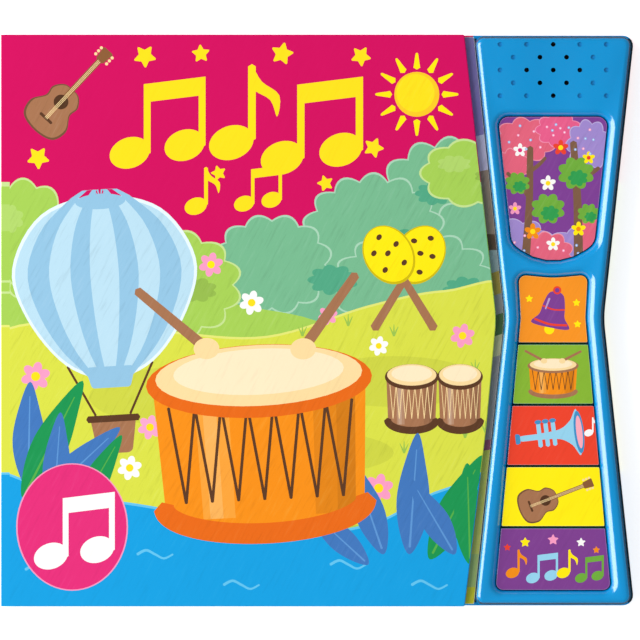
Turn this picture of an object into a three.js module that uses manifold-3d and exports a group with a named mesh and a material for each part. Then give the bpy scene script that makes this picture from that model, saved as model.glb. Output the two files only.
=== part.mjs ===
// A hardback children's sound book: three boards, a page block and a moulded sound module with six keys.
// Millimetres, +Z up. The closed book lies on its back cover, X to the right, Y to the head of the page.
import * as THREE from "three";
import { mergeVertices } from "three/addons/utils/BufferGeometryUtils.js";
import Module from "manifold-3d";

const wasm = await Module();
wasm.setup();

// Driving dimensions: the book
const BOOK_WIDTH = 249;
const BOOK_HEIGHT = 225;
const BOARD = 2.5; // cover board
const LEAF_COUNT = 6; // stiff leaves in the page block
const LEAF = 1.9;
const LEAF_GROOVE = 0.3; // shadow line between two leaves
const PAGE_INSET = 1.5; // pages stop short of the boards at head and foot
const REST_GAP = 0.3; // between pieces that lie on each other and move
const SPINE_GAP = 0.5; // spine board to board edges
const BOARD_CORNER = 0.3; // radius of a board's corners at the spine
const CUT_CORNER = 0.6; // radius where the die cut meets head and foot

// Driving dimensions: print on the front cover
const PRINT = 0.15;
const PRINT_MARGIN = 0.05;
const DISC_SHARE = 0.107; // radius, as a share of the cover's width
const DISC_ACROSS = 0.115; // share of the cover's width
const DISC_UP = 0.15; // share of the cover's height
const DRUM_ACROSS = 0.5; // share of the cover's width
const DRUM_SHARE = 0.39; // width, as a share of the cover's width
const DRUM_HEIGHT = 58;
const DRUM_TOP = 92;

// Driving dimensions: the module's hourglass outline
const MODULE_HEAD_WIDTH = 63.4;
const MODULE_FOOT_WIDTH = 63.4;
const MODULE_WAIST_WIDTH = 39.6;
const MODULE_WAIST_HEIGHT = 113.5; // waist above the foot of the book
const MODULE_END_INSET = 0.2; // module stops short of the boards at head and foot
const MODULE_CORNER = 4;
const WAIST_ROUND = 40;
const BACK_RIM = 0.6; // back cover beyond the module
const PAGE_CLEARANCE = 0.8; // page edge to module
const COVER_SETBACK_HEAD = 3.2; // front cover edge to module, at the head
const COVER_SETBACK_WAIST = 2.5;
const COVER_SETBACK_MIDDLE = 1.9; // between waist and foot
const COVER_SETBACK_FOOT = 3.1;
const COVER_MIDDLE = 0.62; // height of that place, as a share of the waist's

// Driving dimensions: the housings
const MODULE_THICKNESS = 17.5; // above the back cover
const WALL = 2;
const DRAFT = 1.2;
const EDGE_ROUND = 1.7;
const COLLAR_DEPTH = 4.6; // face to underside of the key windows
const COLLAR_WALL = 1.4;
const BEVEL_DEPTH = 2.9;
const BEVEL_WIDTH = 3;
const FLOOR = 2; // rear housing plate
const FIT = 0.3; // clearance of fitted pieces
const BOSS_RADIUS = 2.4;
const BOSS_INSET = 6.2; // boss centre to outline
const SCREW_SHANK = 1;
const SCREW_HEAD = 2;
const SCREW_HEAD_DEPTH = 1;
const SCREW_LENGTH = 8;
const SCREW_SLOT = 0.5; // width of one arm of the cross
const SCREW_SLOT_DEPTH = 0.35;
const THREAD_PLAY = 0.15; // round a screw in the hole it holds by
const HOLE_PLAY = 0.3; // round a screw in the hole it passes

// Driving dimensions: the keys, measured from the foot of the book
const KEY_COUNT = 6;
const TOP_KEY_DOWN = 32; // head end below the head of the book
const TOP_KEY_FOOT = 135.3;
const TOP_KEY_HEAD_WIDTH = 44;
const TOP_KEY_FOOT_WIDTH = 33.2;
const TOP_KEY_CORNER = 4;
const TOP_KEY_SHOULDER = 7.4; // height of the round lower end
const TOP_KEY_BOTTOM_DROP = 4.6; // of the corner that the lower end is rounded from
const TOP_KEY_BOTTOM_ROUND = 22;
const TOP_KEY_SHOULDER_ROUND = 6.5;
const KEYS_HEAD = 130.9; // head end of the five lower keys
const KEYS_FOOT = 6.2;
const KEYS_HEAD_WIDTH = 28;
const KEYS_WAIST_WIDTH = 26.1;
const KEYS_FOOT_WIDTH = 46;
const FIRST_KEY_LENGTH = 27;
const KEY_LENGTH = 23.2;
const KEY_SPACE = 0.9; // between two keys
const KEYS_CORNER = 3;
const KEYS_WAIST_ROUND = 20;
const HEAD_DIP = 1.3; // hollow of the lower window's head edge
const DIP_ROUND = 40;
const KEY_CLEARANCE = 0.35;
const KEY_PROUD = 0.5; // key above the foot of the bevel
const LUG = 1.6; // retaining lug under the collar
const LUG_THICKNESS = 1.4;
const LUG_CLEARANCE = 0.25;
const LUG_SHARE = 0.5; // of the key's length
const LABEL = 0.3;
const LABEL_INSET = 0.25;
const LABEL_CORNER = 0.6;

// Driving dimensions: grille and speaker
const GRILLE_DOWN = 14; // centre below the head of the book
const GRILLE_PITCH_X = 10.45;
const GRILLE_PITCH_Y = 5.05;
const GRILLE_HOLE = 0.95; // radius
const DIMPLE_DEPTH = 0.8;
const SPEAKER_RADIUS = 11.3;
const SPEAKER_RIM = 1.4;
const SPEAKER_DEPTH = 6.4;
const MAGNET_RADIUS = 6.2;
const MAGNET_DEPTH = 3;
const SPEAKER_SHEET = 1;
const SPEAKER_RING = 1;
const CONE_LIFT = 2.6; // cone's lowest point above the frame's back
const CONE_SHEET = 0.8;
const CONE_DOME = 3; // radius of the dome in the cone's middle
const CONE_ROLL = 1; // soft edge
const CONE_GAP = 0.3;

// Driving dimensions: circuit and battery bay
const BOARD_LIFT = 6.3; // circuit board above the back cover
const CIRCUIT = 1.6;
const CIRCUIT_DOWN = 33; // head end below the head of the book
const CIRCUIT_FOOT = 9;
const CIRCUIT_CORNER = 1.5;
const POST_RADIUS = 1.8;
const POST_ASIDE = 3;
const POST_BELOW_WAIST = 31;
const POST_ABOVE_WAIST = 33;
const DOME_RADIUS = 3.6;
const DOME_GAP = 0.3;
const DOME_RIM = 0.6;
const CHIP_RADIUS = 3.4;
const CHIP_HEIGHT = 1.1;
const CHIP_ASIDE = 7;
const CHIP_DOWN = 14; // below the circuit board's head
const LEAD = 0.6; // radius
const LEAD_ASIDE = 3;
const LEAD_START = 1.4; // beyond the magnet
const LEAD_BEND = 5;
const LEAD_LAP = 4; // over the circuit board
const LEAD_LIFT = 0.3;
const CELL_COUNT = 3;
const CELL_RADIUS = 5.8;
const CELL_THICKNESS = 5.2;
const CELL_PITCH = 12.4;
const CELL_PLAY = 0.2; // above and below a cell
const CELL_STEP = 0.9; // height of the smaller pole
const CELL_EDGE = 0.3;
const BAY_CENTRE = 36; // above the foot of the book
const BAY_MARGIN = 0.5;
const BAY_WALL = 1.4;
const BAY_ROOF = 0.8;
const DOOR_LEDGE_SIDE = 2.4;
const DOOR_LEDGE_END = 5.2;
const DOOR = 1.3;
const DOOR_RECESS = 0.3; // door below the back cover's outer face
const DOOR_CORNER = 0.8;
const DOOR_SCREW_LENGTH = 6;
const CONTACT = 0.3;
const CONTACT_WIDTH = 7;

// Levels and edges that follow from the values above
const LEFT = -BOOK_WIDTH / 2;
const RIGHT = BOOK_WIDTH / 2;
const FOOT = -BOOK_HEIGHT / 2;
const HEAD = BOOK_HEIGHT / 2;
const PAGES_TOP = BOARD + LEAF_COUNT * LEAF;
const COVER_BOTTOM = PAGES_TOP + REST_GAP;
const COVER_TOP = COVER_BOTTOM + BOARD;
const BOARD_LEFT = LEFT + BOARD + SPINE_GAP;
const FACE = BOARD + MODULE_THICKNESS;
const COLLAR_BOTTOM = FACE - COLLAR_DEPTH;
const WAIST_Y = FOOT + MODULE_WAIST_HEIGHT;
const CIRCUIT_BOTTOM = BOARD + BOARD_LIFT;
const CIRCUIT_TOP = CIRCUIT_BOTTOM + CIRCUIT;
const BOSS_IN_WALL = WALL + DRAFT + BOSS_RADIUS * 0.7; // boss centre to outline, beside the waist
const CIRCUIT_MARGIN = BOSS_IN_WALL + BOSS_RADIUS + 2 * FIT;
const CUT = 1; // how far a cutter runs past the face it cuts

const gloss = (color) => new THREE.MeshStandardMaterial({ color, roughness: 0.22, metalness: 0 });
const matte = (color) => new THREE.MeshStandardMaterial({ color, roughness: 0.7, metalness: 0 });
const metal = (color) => new THREE.MeshStandardMaterial({ color, roughness: 0.3, metalness: 1 });
const MATERIALS = {
  magenta: gloss(0xde0264),
  backCover: gloss(0x1a9cde),
  pages: matte(0xe9e4dc),
  housing: gloss(0x0099d7),
  rubber: matte(0xd8d8d4),
  circuit: matte(0x2a6b3c),
  black: matte(0x1c1c1e),
  paperCone: matte(0x3a3430),
  steel: metal(0xb9bcc0),
  nickel: metal(0xd0cfc8),
  leadRed: matte(0xc02020),
  leadBlack: matte(0x222222),
};

// A closed outline from corners [x, y, radius], walked anticlockwise; a negative turn gives a hollow round.
function roundedOutline(corners, steps = 5) {
  const points = [];
  const count = corners.length;
  corners.forEach(([x, y, radius], i) => {
    const corner = new THREE.Vector2(x, y);
    const before = new THREE.Vector2(...corners[(i + count - 1) % count]).sub(corner).normalize();
    const after = new THREE.Vector2(...corners[(i + 1) % count]).sub(corner).normalize();
    const opening = Math.acos(THREE.MathUtils.clamp(before.dot(after), -1, 1));
    const reach = radius / Math.tan(opening / 2);
    const start = corner.clone().addScaledVector(before, reach);
    const end = corner.clone().addScaledVector(after, reach);
    const middle = before.clone().add(after).normalize();
    const centre = corner.clone().addScaledVector(middle, radius / Math.sin(opening / 2));
    const from = start.clone().sub(centre);
    const turn = Math.atan2(from.cross(end.clone().sub(centre)), from.dot(end.clone().sub(centre)));
    for (let k = 0; k <= steps; k++) {
      points.push(from.clone().rotateAround(new THREE.Vector2(), (turn * k) / steps).add(centre));
    }
  });
  return points;
}

// The same corners with every side moved inwards by inset, so that rings of one outline match point by point.
function insetCorners(corners, inset, least = BOARD_CORNER) {
  const count = corners.length;
  return corners.map(([x, y, radius], i) => {
    const [ax, ay] = corners[(i + count - 1) % count];
    const [bx, by] = corners[(i + 1) % count];
    const before = new THREE.Vector2(x - ax, y - ay).normalize();
    const after = new THREE.Vector2(bx - x, by - y).normalize();
    const normalBefore = new THREE.Vector2(-before.y, before.x);
    const normalAfter = new THREE.Vector2(-after.y, after.x);
    const move = inset / (1 + normalBefore.dot(normalAfter));
    const convex = before.cross(after) > 0;
    const changed = Math.max(radius + (convex ? -inset : inset), least);
    return [
      x + move * (normalBefore.x + normalAfter.x),
      y + move * (normalBefore.y + normalAfter.y),
      changed,
    ];
  });
}

// A solid through rings { points, z } that have the same number of points.
function loft(rings) {
  const size = rings[0].points.length;
  const positions = rings.flatMap(({ points, z }) => points.flatMap((p) => [p.x, p.y, z]));
  const index = [];
  for (let r = 0; r + 1 < rings.length; r++) {
    for (let i = 0; i < size; i++) {
      const a = r * size + i;
      const b = r * size + ((i + 1) % size);
      index.push(a, b, b + size, a, b + size, a + size);
    }
  }
  const last = (rings.length - 1) * size;
  THREE.ShapeUtils.triangulateShape(rings[0].points, []).forEach(([a, b, c]) => index.push(c, b, a));
  THREE.ShapeUtils.triangulateShape(rings[rings.length - 1].points, []).forEach(([a, b, c]) => {
    index.push(last + a, last + b, last + c);
  });
  const geometry = new THREE.BufferGeometry();
  geometry.setAttribute("position", new THREE.Float32BufferAttribute(positions, 3));
  geometry.setIndex(index);
  return solid(geometry);
}

function solid(geometry) {
  const plain = geometry.clone();
  plain.deleteAttribute("normal");
  plain.deleteAttribute("uv");
  const merged = mergeVertices(plain, 1e-4);
  return new wasm.Manifold(
    new wasm.Mesh({
      numProp: 3,
      vertProperties: merged.attributes.position.array,
      triVerts: new Uint32Array(merged.index.array),
    }),
  );
}

const prism = (points, bottom, top) => loft([{ points, z: bottom }, { points, z: top }]);

function box(x0, x1, y0, y1, z0, z1) {
  const corners = [[x0, y0], [x1, y0], [x1, y1], [x0, y1]];
  return prism(corners.map(([x, y]) => new THREE.Vector2(x, y)), z0, z1);
}

function cylinder(x, y, radius, z0, z1, sides = 20) {
  const points = [];
  for (let i = 0; i < sides; i++) {
    const angle = (2 * Math.PI * i) / sides;
    points.push(new THREE.Vector2(x + radius * Math.cos(angle), y + radius * Math.sin(angle)));
  }
  return prism(points, z0, z1);
}

// A turned solid from [radius, z] points, standing at x, y.
function turned(x, y, profile, sides = 28) {
  const points = profile.map(([radius, z]) => new THREE.Vector2(radius, z));
  const geometry = new THREE.LatheGeometry(points, sides);
  geometry.rotateX(Math.PI / 2);
  geometry.translate(x, y, 0);
  return solid(geometry);
}

const book = new THREE.Group();

// The hourglass outline of the module about a centre line, as corners.
function moduleCorners(centre = MODULE_X) {
  const head = HEAD - MODULE_END_INSET;
  const foot = FOOT + MODULE_END_INSET;
  return [
    [centre - MODULE_FOOT_WIDTH / 2, foot, MODULE_CORNER],
    [centre + MODULE_FOOT_WIDTH / 2, foot, MODULE_CORNER],
    [centre + MODULE_WAIST_WIDTH / 2, WAIST_Y, WAIST_ROUND],
    [centre + MODULE_HEAD_WIDTH / 2, head, MODULE_CORNER],
    [centre - MODULE_HEAD_WIDTH / 2, head, MODULE_CORNER],
    [centre - MODULE_WAIST_WIDTH / 2, WAIST_Y, WAIST_ROUND],
  ];
}

// The back cover's outline: straight at the spine, and a rim round the module's outer side.
function backOutline(left, centre = MODULE_X) {
  const corners = insetCorners(moduleCorners(centre), -BACK_RIM);
  return roundedOutline([
    [left, FOOT, BOARD_CORNER],
    [corners[1][0], FOOT, MODULE_CORNER],
    corners[2],
    [corners[3][0], HEAD, MODULE_CORNER],
    [left, HEAD, BOARD_CORNER],
  ]);
}

// The module's centre line, placed so that the back cover's rim ends at the book's full width.
const MODULE_X = RIGHT - Math.max(...backOutline(LEFT, 0).map((point) => point.x));

function place(name, body, material) {
  const made = body.getMesh();
  const geometry = new THREE.BufferGeometry();
  geometry.setAttribute("position", new THREE.BufferAttribute(made.vertProperties, 3));
  geometry.setIndex(new THREE.BufferAttribute(made.triVerts, 1));
  geometry.computeVertexNormals();
  const mesh = new THREE.Mesh(geometry, material);
  mesh.name = name;
  book.add(mesh);
}

const moduleRing = (inset, z) => ({ points: roundedOutline(insetCorners(moduleCorners(), inset)), z });

// Half the width of the module at height y.
function moduleHalfWidth(y) {
  const end = y > WAIST_Y ? MODULE_HEAD_WIDTH : MODULE_FOOT_WIDTH;
  const span = y > WAIST_Y ? HEAD - MODULE_END_INSET - WAIST_Y : WAIST_Y - FOOT - MODULE_END_INSET;
  const share = Math.abs(y - WAIST_Y) / span;
  return (MODULE_WAIST_WIDTH + share * (end - MODULE_WAIST_WIDTH)) / 2;
}

function backCover() {
  const bay = baySize();
  const opening = box(
    MODULE_X - bay.collarX - FIT,
    MODULE_X + bay.collarX + FIT,
    bay.y - bay.collarY - FIT,
    bay.y + bay.collarY + FIT,
    -CUT,
    BOARD + CUT,
  );
  place("back_cover", prism(backOutline(BOARD_LEFT), 0, BOARD).subtract(opening), MATERIALS.backCover);
}

function spineBoard() {
  place("spine_board", box(LEFT, LEFT + BOARD, FOOT, HEAD, 0, COVER_TOP), MATERIALS.magenta);
}

function coverOutline(inset = 0) {
  const foot = MODULE_X - MODULE_FOOT_WIDTH / 2 - COVER_SETBACK_FOOT;
  const middleY = FOOT + COVER_MIDDLE * MODULE_WAIST_HEIGHT;
  const middle = MODULE_X - moduleHalfWidth(middleY) - COVER_SETBACK_MIDDLE;
  const waist = MODULE_X - MODULE_WAIST_WIDTH / 2 - COVER_SETBACK_WAIST;
  const head = MODULE_X - MODULE_HEAD_WIDTH / 2 - COVER_SETBACK_HEAD;
  const corners = [
    [BOARD_LEFT, FOOT, BOARD_CORNER],
    [foot, FOOT, CUT_CORNER],
    [middle, middleY, 2 * WAIST_ROUND],
    [waist, WAIST_Y, WAIST_ROUND],
    [head, HEAD, CUT_CORNER],
    [BOARD_LEFT, HEAD, BOARD_CORNER],
  ];
  return roundedOutline(insetCorners(corners, inset));
}

function frontCover() {
  place("front_cover", prism(coverOutline(), COVER_BOTTOM, COVER_TOP), MATERIALS.magenta);
}

// The cover's width up to the module's waist.
const coverWidth = () => MODULE_X - MODULE_WAIST_WIDTH / 2 - BOARD_LEFT;

// A closed smooth outline through a few places given as shares of the cover's width and height.
function softOutline(places, pieces = 40) {
  const points = places.map(([across, up]) => {
    return new THREE.Vector3(BOARD_LEFT + across * coverWidth(), FOOT + up * BOOK_HEIGHT, 0);
  });
  const curve = new THREE.CatmullRomCurve3(points, true).getPoints(pieces).slice(0, -1);
  return THREE.ShapeUtils.isClockWise(curve) ? curve.reverse() : curve;
}

function coverDisc() {
  const x = BOARD_LEFT + DISC_ACROSS * coverWidth();
  const y = FOOT + DISC_UP * BOOK_HEIGHT;
  return cylinder(x, y, DISC_SHARE * coverWidth(), COVER_TOP, COVER_TOP + PRINT, 40);
}

// Fields of colour printed on the front cover, nearest first: each is cut back by those before it.
function coverPrint() {
  const sheet = prism(coverOutline(PRINT_MARGIN), COVER_TOP, COVER_TOP + PRINT);
  const soft = (places, pieces) => prism(softOutline(places, pieces), COVER_TOP, COVER_TOP + PRINT);
  const fields = [
    ["print_disc", coverDisc(), 0xe2076b],
    ["print_drum", drumOutline(), 0xf08a0c],
    ["print_foreground", soft([
      [-0.3, 0.14], [0.05, 0.2], [0.3, 0.13], [0.55, 0.1], [0.75, 0.15], [0.95, 0.25], [1.2, 0.24],
      [1.3, -0.3], [-0.3, -0.3],
    ]), 0x019cde],
    ["print_meadow", soft([
      [-0.3, 0.3], [0.1, 0.28], [0.4, 0.36], [0.7, 0.47], [1, 0.43], [1.3, 0.45], [1.3, -0.2], [-0.3, -0.2],
    ]), 0xd6da45],
    ["print_hill", soft([
      [-0.3, 0.5], [0.06, 0.6], [0.24, 0.64], [0.42, 0.54], [0.62, 0.5], [0.8, 0.42], [1.1, 0.36], [1.3, 0.1],
      [-0.3, 0.1],
    ]), 0xa1c850],
    ["print_far_hill", soft([
      [0.3, 0.5], [0.56, 0.57], [0.72, 0.67], [0.88, 0.72], [1.1, 0.74], [1.3, 0.3], [0.5, 0.3],
    ]), 0x77b58c],
  ];
  let taken = null;
  fields.forEach(([name, shape, color]) => {
    let field = shape.intersect(sheet);
    if (taken) field = field.subtract(taken);
    taken = taken ? taken.add(shape) : shape;
    place(name, field, gloss(color));
  });
}

// A big round-bottomed drum seen from the front.
function drumOutline() {
  const x = BOARD_LEFT + DRUM_ACROSS * coverWidth();
  const half = (DRUM_SHARE * coverWidth()) / 2;
  const top = FOOT + DRUM_TOP;
  const points = roundedOutline([
    [x - half * 0.86, top - DRUM_HEIGHT, half * 0.2],
    [x, top - DRUM_HEIGHT * 1.1, half * 1.6],
    [x + half * 0.86, top - DRUM_HEIGHT, half * 0.2],
    [x + half, top, half * 0.16],
    [x, top + DRUM_HEIGHT * 0.22, half * 1.1],
    [x - half, top, half * 0.16],
  ]);
  return prism(points, COVER_TOP, COVER_TOP + PRINT);
}

function pageRing(inset, z) {
  const left = BOARD_LEFT;
  const corners = [
    [left, FOOT + PAGE_INSET, CUT_CORNER],
    [MODULE_X - MODULE_FOOT_WIDTH / 2 - PAGE_CLEARANCE, FOOT + PAGE_INSET, CUT_CORNER],
    [MODULE_X - MODULE_WAIST_WIDTH / 2 - PAGE_CLEARANCE, WAIST_Y, WAIST_ROUND],
    [MODULE_X - MODULE_HEAD_WIDTH / 2 - PAGE_CLEARANCE, HEAD - PAGE_INSET, CUT_CORNER],
    [left, HEAD - PAGE_INSET, CUT_CORNER],
  ];
  return { points: roundedOutline(insetCorners(corners, inset), 4), z };
}

// One solid: stiff leaves with a thin shadow line between every two.
function pageBlock() {
  const rings = [];
  for (let leaf = 0; leaf < LEAF_COUNT; leaf++) {
    const bottom = BOARD + leaf * LEAF;
    const groove = leaf ? LEAF_GROOVE / 2 : 0;
    const notch = leaf + 1 < LEAF_COUNT ? LEAF_GROOVE / 2 : 0;
    rings.push(pageRing(0, bottom + groove), pageRing(0, bottom + LEAF - notch));
    if (notch) rings.push(pageRing(LEAF_GROOVE, bottom + LEAF));
  }
  place("page_block", loft(rings), MATERIALS.pages);
}

// The corners of the upper key's window.
function topKeyCorners() {
  const head = HEAD - TOP_KEY_DOWN;
  const foot = FOOT + TOP_KEY_FOOT;
  const half = TOP_KEY_FOOT_WIDTH / 2;
  return [
    [MODULE_X - half, foot + TOP_KEY_SHOULDER, TOP_KEY_SHOULDER_ROUND],
    [MODULE_X, foot - TOP_KEY_BOTTOM_DROP, TOP_KEY_BOTTOM_ROUND],
    [MODULE_X + half, foot + TOP_KEY_SHOULDER, TOP_KEY_SHOULDER_ROUND],
    [MODULE_X + TOP_KEY_HEAD_WIDTH / 2, head, TOP_KEY_CORNER],
    [MODULE_X - TOP_KEY_HEAD_WIDTH / 2, head, TOP_KEY_CORNER],
  ];
}

// Half the width of the upper window at height y.
function topKeyHalfWidth(y) {
  const shoulder = FOOT + TOP_KEY_FOOT + TOP_KEY_SHOULDER;
  const share = (y - shoulder) / (HEAD - TOP_KEY_DOWN - shoulder);
  return (TOP_KEY_FOOT_WIDTH + share * (TOP_KEY_HEAD_WIDTH - TOP_KEY_FOOT_WIDTH)) / 2;
}

// Half the width of the lower window at height y.
function keysHalfWidth(y) {
  const head = FOOT + KEYS_HEAD;
  const foot = FOOT + KEYS_FOOT;
  const share = y > WAIST_Y ? (y - WAIST_Y) / (head - WAIST_Y) : (WAIST_Y - y) / (WAIST_Y - foot);
  const end = y > WAIST_Y ? KEYS_HEAD_WIDTH : KEYS_FOOT_WIDTH;
  return (KEYS_WAIST_WIDTH + share * (end - KEYS_WAIST_WIDTH)) / 2;
}

// The corners of the window of the five lower keys, or of one key between heights foot and head.
function keysCorners(foot, head, footCorner, headCorner, dip) {
  const corners = [
    [MODULE_X - keysHalfWidth(foot), foot, footCorner],
    [MODULE_X + keysHalfWidth(foot), foot, footCorner],
  ];
  const crossesWaist = foot < WAIST_Y && head > WAIST_Y;
  if (crossesWaist) corners.push([MODULE_X + keysHalfWidth(WAIST_Y), WAIST_Y, KEYS_WAIST_ROUND]);
  corners.push([MODULE_X + keysHalfWidth(head), head, headCorner]);
  if (dip) corners.push([MODULE_X, head - dip, DIP_ROUND]);
  corners.push([MODULE_X - keysHalfWidth(head), head, headCorner]);
  if (crossesWaist) corners.push([MODULE_X - keysHalfWidth(WAIST_Y), WAIST_Y, KEYS_WAIST_ROUND]);
  return corners;
}
const lowerWindowCorners = () =>
  keysCorners(FOOT + KEYS_FOOT, FOOT + KEYS_HEAD, KEYS_CORNER, KEYS_CORNER, HEAD_DIP);

// The keys from head to foot: window corners of each, and its two ends.
function keyList() {
  const keys = [
    { corners: topKeyCorners(), foot: FOOT + TOP_KEY_FOOT, head: HEAD - TOP_KEY_DOWN },
  ];
  let head = FOOT + KEYS_HEAD;
  for (let i = 1; i < KEY_COUNT; i++) {
    const first = i === 1;
    const last = i === KEY_COUNT - 1;
    const foot = last ? FOOT + KEYS_FOOT : head - (first ? FIRST_KEY_LENGTH : KEY_LENGTH);
    const footCorner = last ? KEYS_CORNER : LABEL_CORNER;
    const headCorner = first ? KEYS_CORNER : LABEL_CORNER;
    const corners = keysCorners(foot, head, footCorner, headCorner, first ? HEAD_DIP : 0);
    keys.push({ corners, foot, head, openFoot: !last, openHead: !first });
    head = foot - KEY_SPACE;
  }
  return keys;
}

// The bevel of a window: rings from its foot to past the face, rounded over at the top.
function bevelCutter(corners) {
  const foot = FACE - BEVEL_DEPTH;
  const shape = [[0, 0], [0.2, 0.36], [0.46, 0.7], [0.72, 0.9], [1, 1]];
  const rings = shape.map(([across, up]) => ({
    points: roundedOutline(insetCorners(corners, -across * BEVEL_WIDTH)),
    z: foot + up * BEVEL_DEPTH,
  }));
  const rim = rings[rings.length - 1].points;
  return loft([...rings, { points: rim, z: FACE + CUT }]);
}

function collar(corners) {
  const outline = roundedOutline(insetCorners(corners, -(BEVEL_WIDTH * 0.5 + COLLAR_WALL)));
  return prism(outline, COLLAR_BOTTOM, FACE - WALL + 0.2);
}

// The places of the grille marks: rows of five and four by turns, with nine of them through to the speaker.
function grilleMarks() {
  const through = [[2], [1, 2], [1, 2, 3], [1, 2], [2]];
  return through.flatMap((open, row) => {
    const count = row % 2 ? 4 : 5;
    return Array.from({ length: count }, (_, i) => ({
      x: MODULE_X + (i - (count - 1) / 2) * GRILLE_PITCH_X,
      y: HEAD - GRILLE_DOWN + (2 - row) * GRILLE_PITCH_Y,
      open: open.includes(i),
    }));
  });
}

// Screw places: two at the head, two above the waist, two at the foot.
function screwPlaces() {
  const heights = [HEAD - BOSS_INSET, FOOT + TOP_KEY_FOOT - 1.4, FOOT + BOSS_INSET];
  return heights.flatMap((y) => {
    const waist = Math.abs(y - WAIST_Y) < BOOK_HEIGHT / 4;
    const x = moduleHalfWidth(y) - (waist ? BOSS_IN_WALL : BOSS_INSET);
    return [[MODULE_X - x, y], [MODULE_X + x, y]];
  });
}

function frontHousing() {
  const straightTop = FACE - EDGE_ROUND;
  const rings = [moduleRing(0, BOARD), moduleRing(DRAFT, straightTop)];
  const roundSteps = 5;
  for (let i = 1; i <= roundSteps; i++) {
    const angle = (i / roundSteps) * (Math.PI / 2);
    const inset = DRAFT + EDGE_ROUND * (1 - Math.cos(angle));
    rings.push(moduleRing(inset, straightTop + EDGE_ROUND * Math.sin(angle)));
  }
  let shell = loft(rings);
  const innerTop = FACE - WALL;
  shell = shell.subtract(loft([moduleRing(WALL, BOARD - CUT), moduleRing(WALL + DRAFT, innerTop)]));
  const inside = loft([moduleRing(WALL - 0.2, BOARD), moduleRing(WALL + DRAFT - 0.2, innerTop + 0.2)]);
  const windows = [topKeyCorners(), lowerWindowCorners()];
  let added = collar(windows[0]).add(collar(windows[1]));
  const speakerY = HEAD - GRILLE_DOWN;
  const ringOuter = SPEAKER_RADIUS + FIT + SPEAKER_RING;
  const ring = cylinder(MODULE_X, speakerY, ringOuter, innerTop - SPEAKER_RIM - 1, innerTop + 0.2, 32);
  added = added.add(ring);
  screwPlaces().forEach(([x, y]) => {
    added = added.add(cylinder(x, y, BOSS_RADIUS, BOARD + FLOOR + FIT, innerTop + 0.2, 16));
  });
  shell = shell.add(added.intersect(inside));
  const ringInner = SPEAKER_RADIUS + FIT;
  shell = shell.subtract(cylinder(MODULE_X, speakerY, ringInner, BOARD, innerTop, 32));
  windows.forEach((corners) => {
    shell = shell.subtract(prism(roundedOutline(corners), COLLAR_BOTTOM - CUT, FACE + CUT));
    shell = shell.subtract(bevelCutter(corners));
  });
  grilleMarks().forEach(({ x, y, open }) => {
    const bottom = open ? innerTop - CUT : FACE - DIMPLE_DEPTH;
    shell = shell.subtract(cylinder(x, y, GRILLE_HOLE, bottom, FACE + CUT, 12));
  });
  screwPlaces().forEach(([x, y]) => {
    const top = BOARD + FLOOR + SCREW_LENGTH + FIT;
    shell = shell.subtract(cylinder(x, y, SCREW_SHANK + THREAD_PLAY, BOARD, top, 10));
  });
  place("front_housing", shell, MATERIALS.housing);
}

// Sizes of the battery bay: cell pocket, door and the collar that reaches through the back cover.
function baySize() {
  const pocketX = CELL_RADIUS + BAY_MARGIN;
  const pocketY = CELL_RADIUS + BAY_MARGIN + ((CELL_COUNT - 1) * CELL_PITCH) / 2;
  const doorX = pocketX + DOOR_LEDGE_SIDE;
  const doorY = pocketY + DOOR_LEDGE_END;
  const doorTop = DOOR_RECESS + DOOR;
  const cellBottom = doorTop + CONTACT + CELL_PLAY;
  const pocketTop = cellBottom + CELL_THICKNESS + CELL_PLAY + CONTACT;
  return {
    y: FOOT + BAY_CENTRE,
    pocketX,
    pocketY,
    doorX,
    doorY,
    collarX: doorX + FIT + BAY_WALL,
    collarY: doorY + FIT + BAY_WALL,
    doorTop,
    cellBottom,
    pocketTop,
    screwY: FOOT + BAY_CENTRE + pocketY + DOOR_LEDGE_END / 2,
  };
}

// Posts that carry the circuit board.
function postPlaces() {
  const low = FOOT + CIRCUIT_FOOT + 2 * POST_RADIUS;
  const high = HEAD - CIRCUIT_DOWN - 2 * POST_RADIUS;
  const heights = [low, WAIST_Y - POST_BELOW_WAIST, WAIST_Y + POST_ABOVE_WAIST, high];
  return heights.map((y, i) => [MODULE_X + (i % 2 ? POST_ASIDE : -POST_ASIDE), y]);
}

function rearHousing() {
  const bay = baySize();
  const plate = prism(moduleRing(WALL + FIT, 0).points, BOARD, BOARD + FLOOR);
  const level = (halfX, halfY, z0, z1) =>
    box(MODULE_X - halfX, MODULE_X + halfX, bay.y - halfY, bay.y + halfY, z0, z1);
  const doorSeat = bay.doorTop;
  let body = plate.add(level(bay.collarX, bay.collarY, DOOR_RECESS, BOARD + FLOOR / 2));
  const roof = bay.pocketTop + BAY_ROOF;
  body = body.add(level(bay.pocketX + BAY_WALL, bay.pocketY + BAY_WALL, BOARD, roof));
  body = body.add(cylinder(MODULE_X, bay.screwY, BOSS_RADIUS, BOARD, roof, 16));
  body = body.subtract(level(bay.doorX + FIT, bay.doorY + FIT, -CUT, doorSeat));
  body = body.subtract(level(bay.pocketX, bay.pocketY, 0, bay.pocketTop));
  body = body.subtract(cylinder(MODULE_X, bay.screwY, SCREW_SHANK + THREAD_PLAY, 0, bay.pocketTop, 10));
  postPlaces().forEach(([x, y]) => {
    body = body.add(cylinder(x, y, POST_RADIUS, BOARD, CIRCUIT_BOTTOM, 12));
  });
  screwPlaces().forEach(([x, y]) => {
    body = body.subtract(cylinder(x, y, SCREW_SHANK + HOLE_PLAY, 0, BOARD + FLOOR + CUT, 12));
    body = body.subtract(cylinder(x, y, SCREW_HEAD + HOLE_PLAY, 0, BOARD + SCREW_HEAD_DEPTH, 12));
  });
  place("rear_housing", body, MATERIALS.housing);
}

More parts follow.
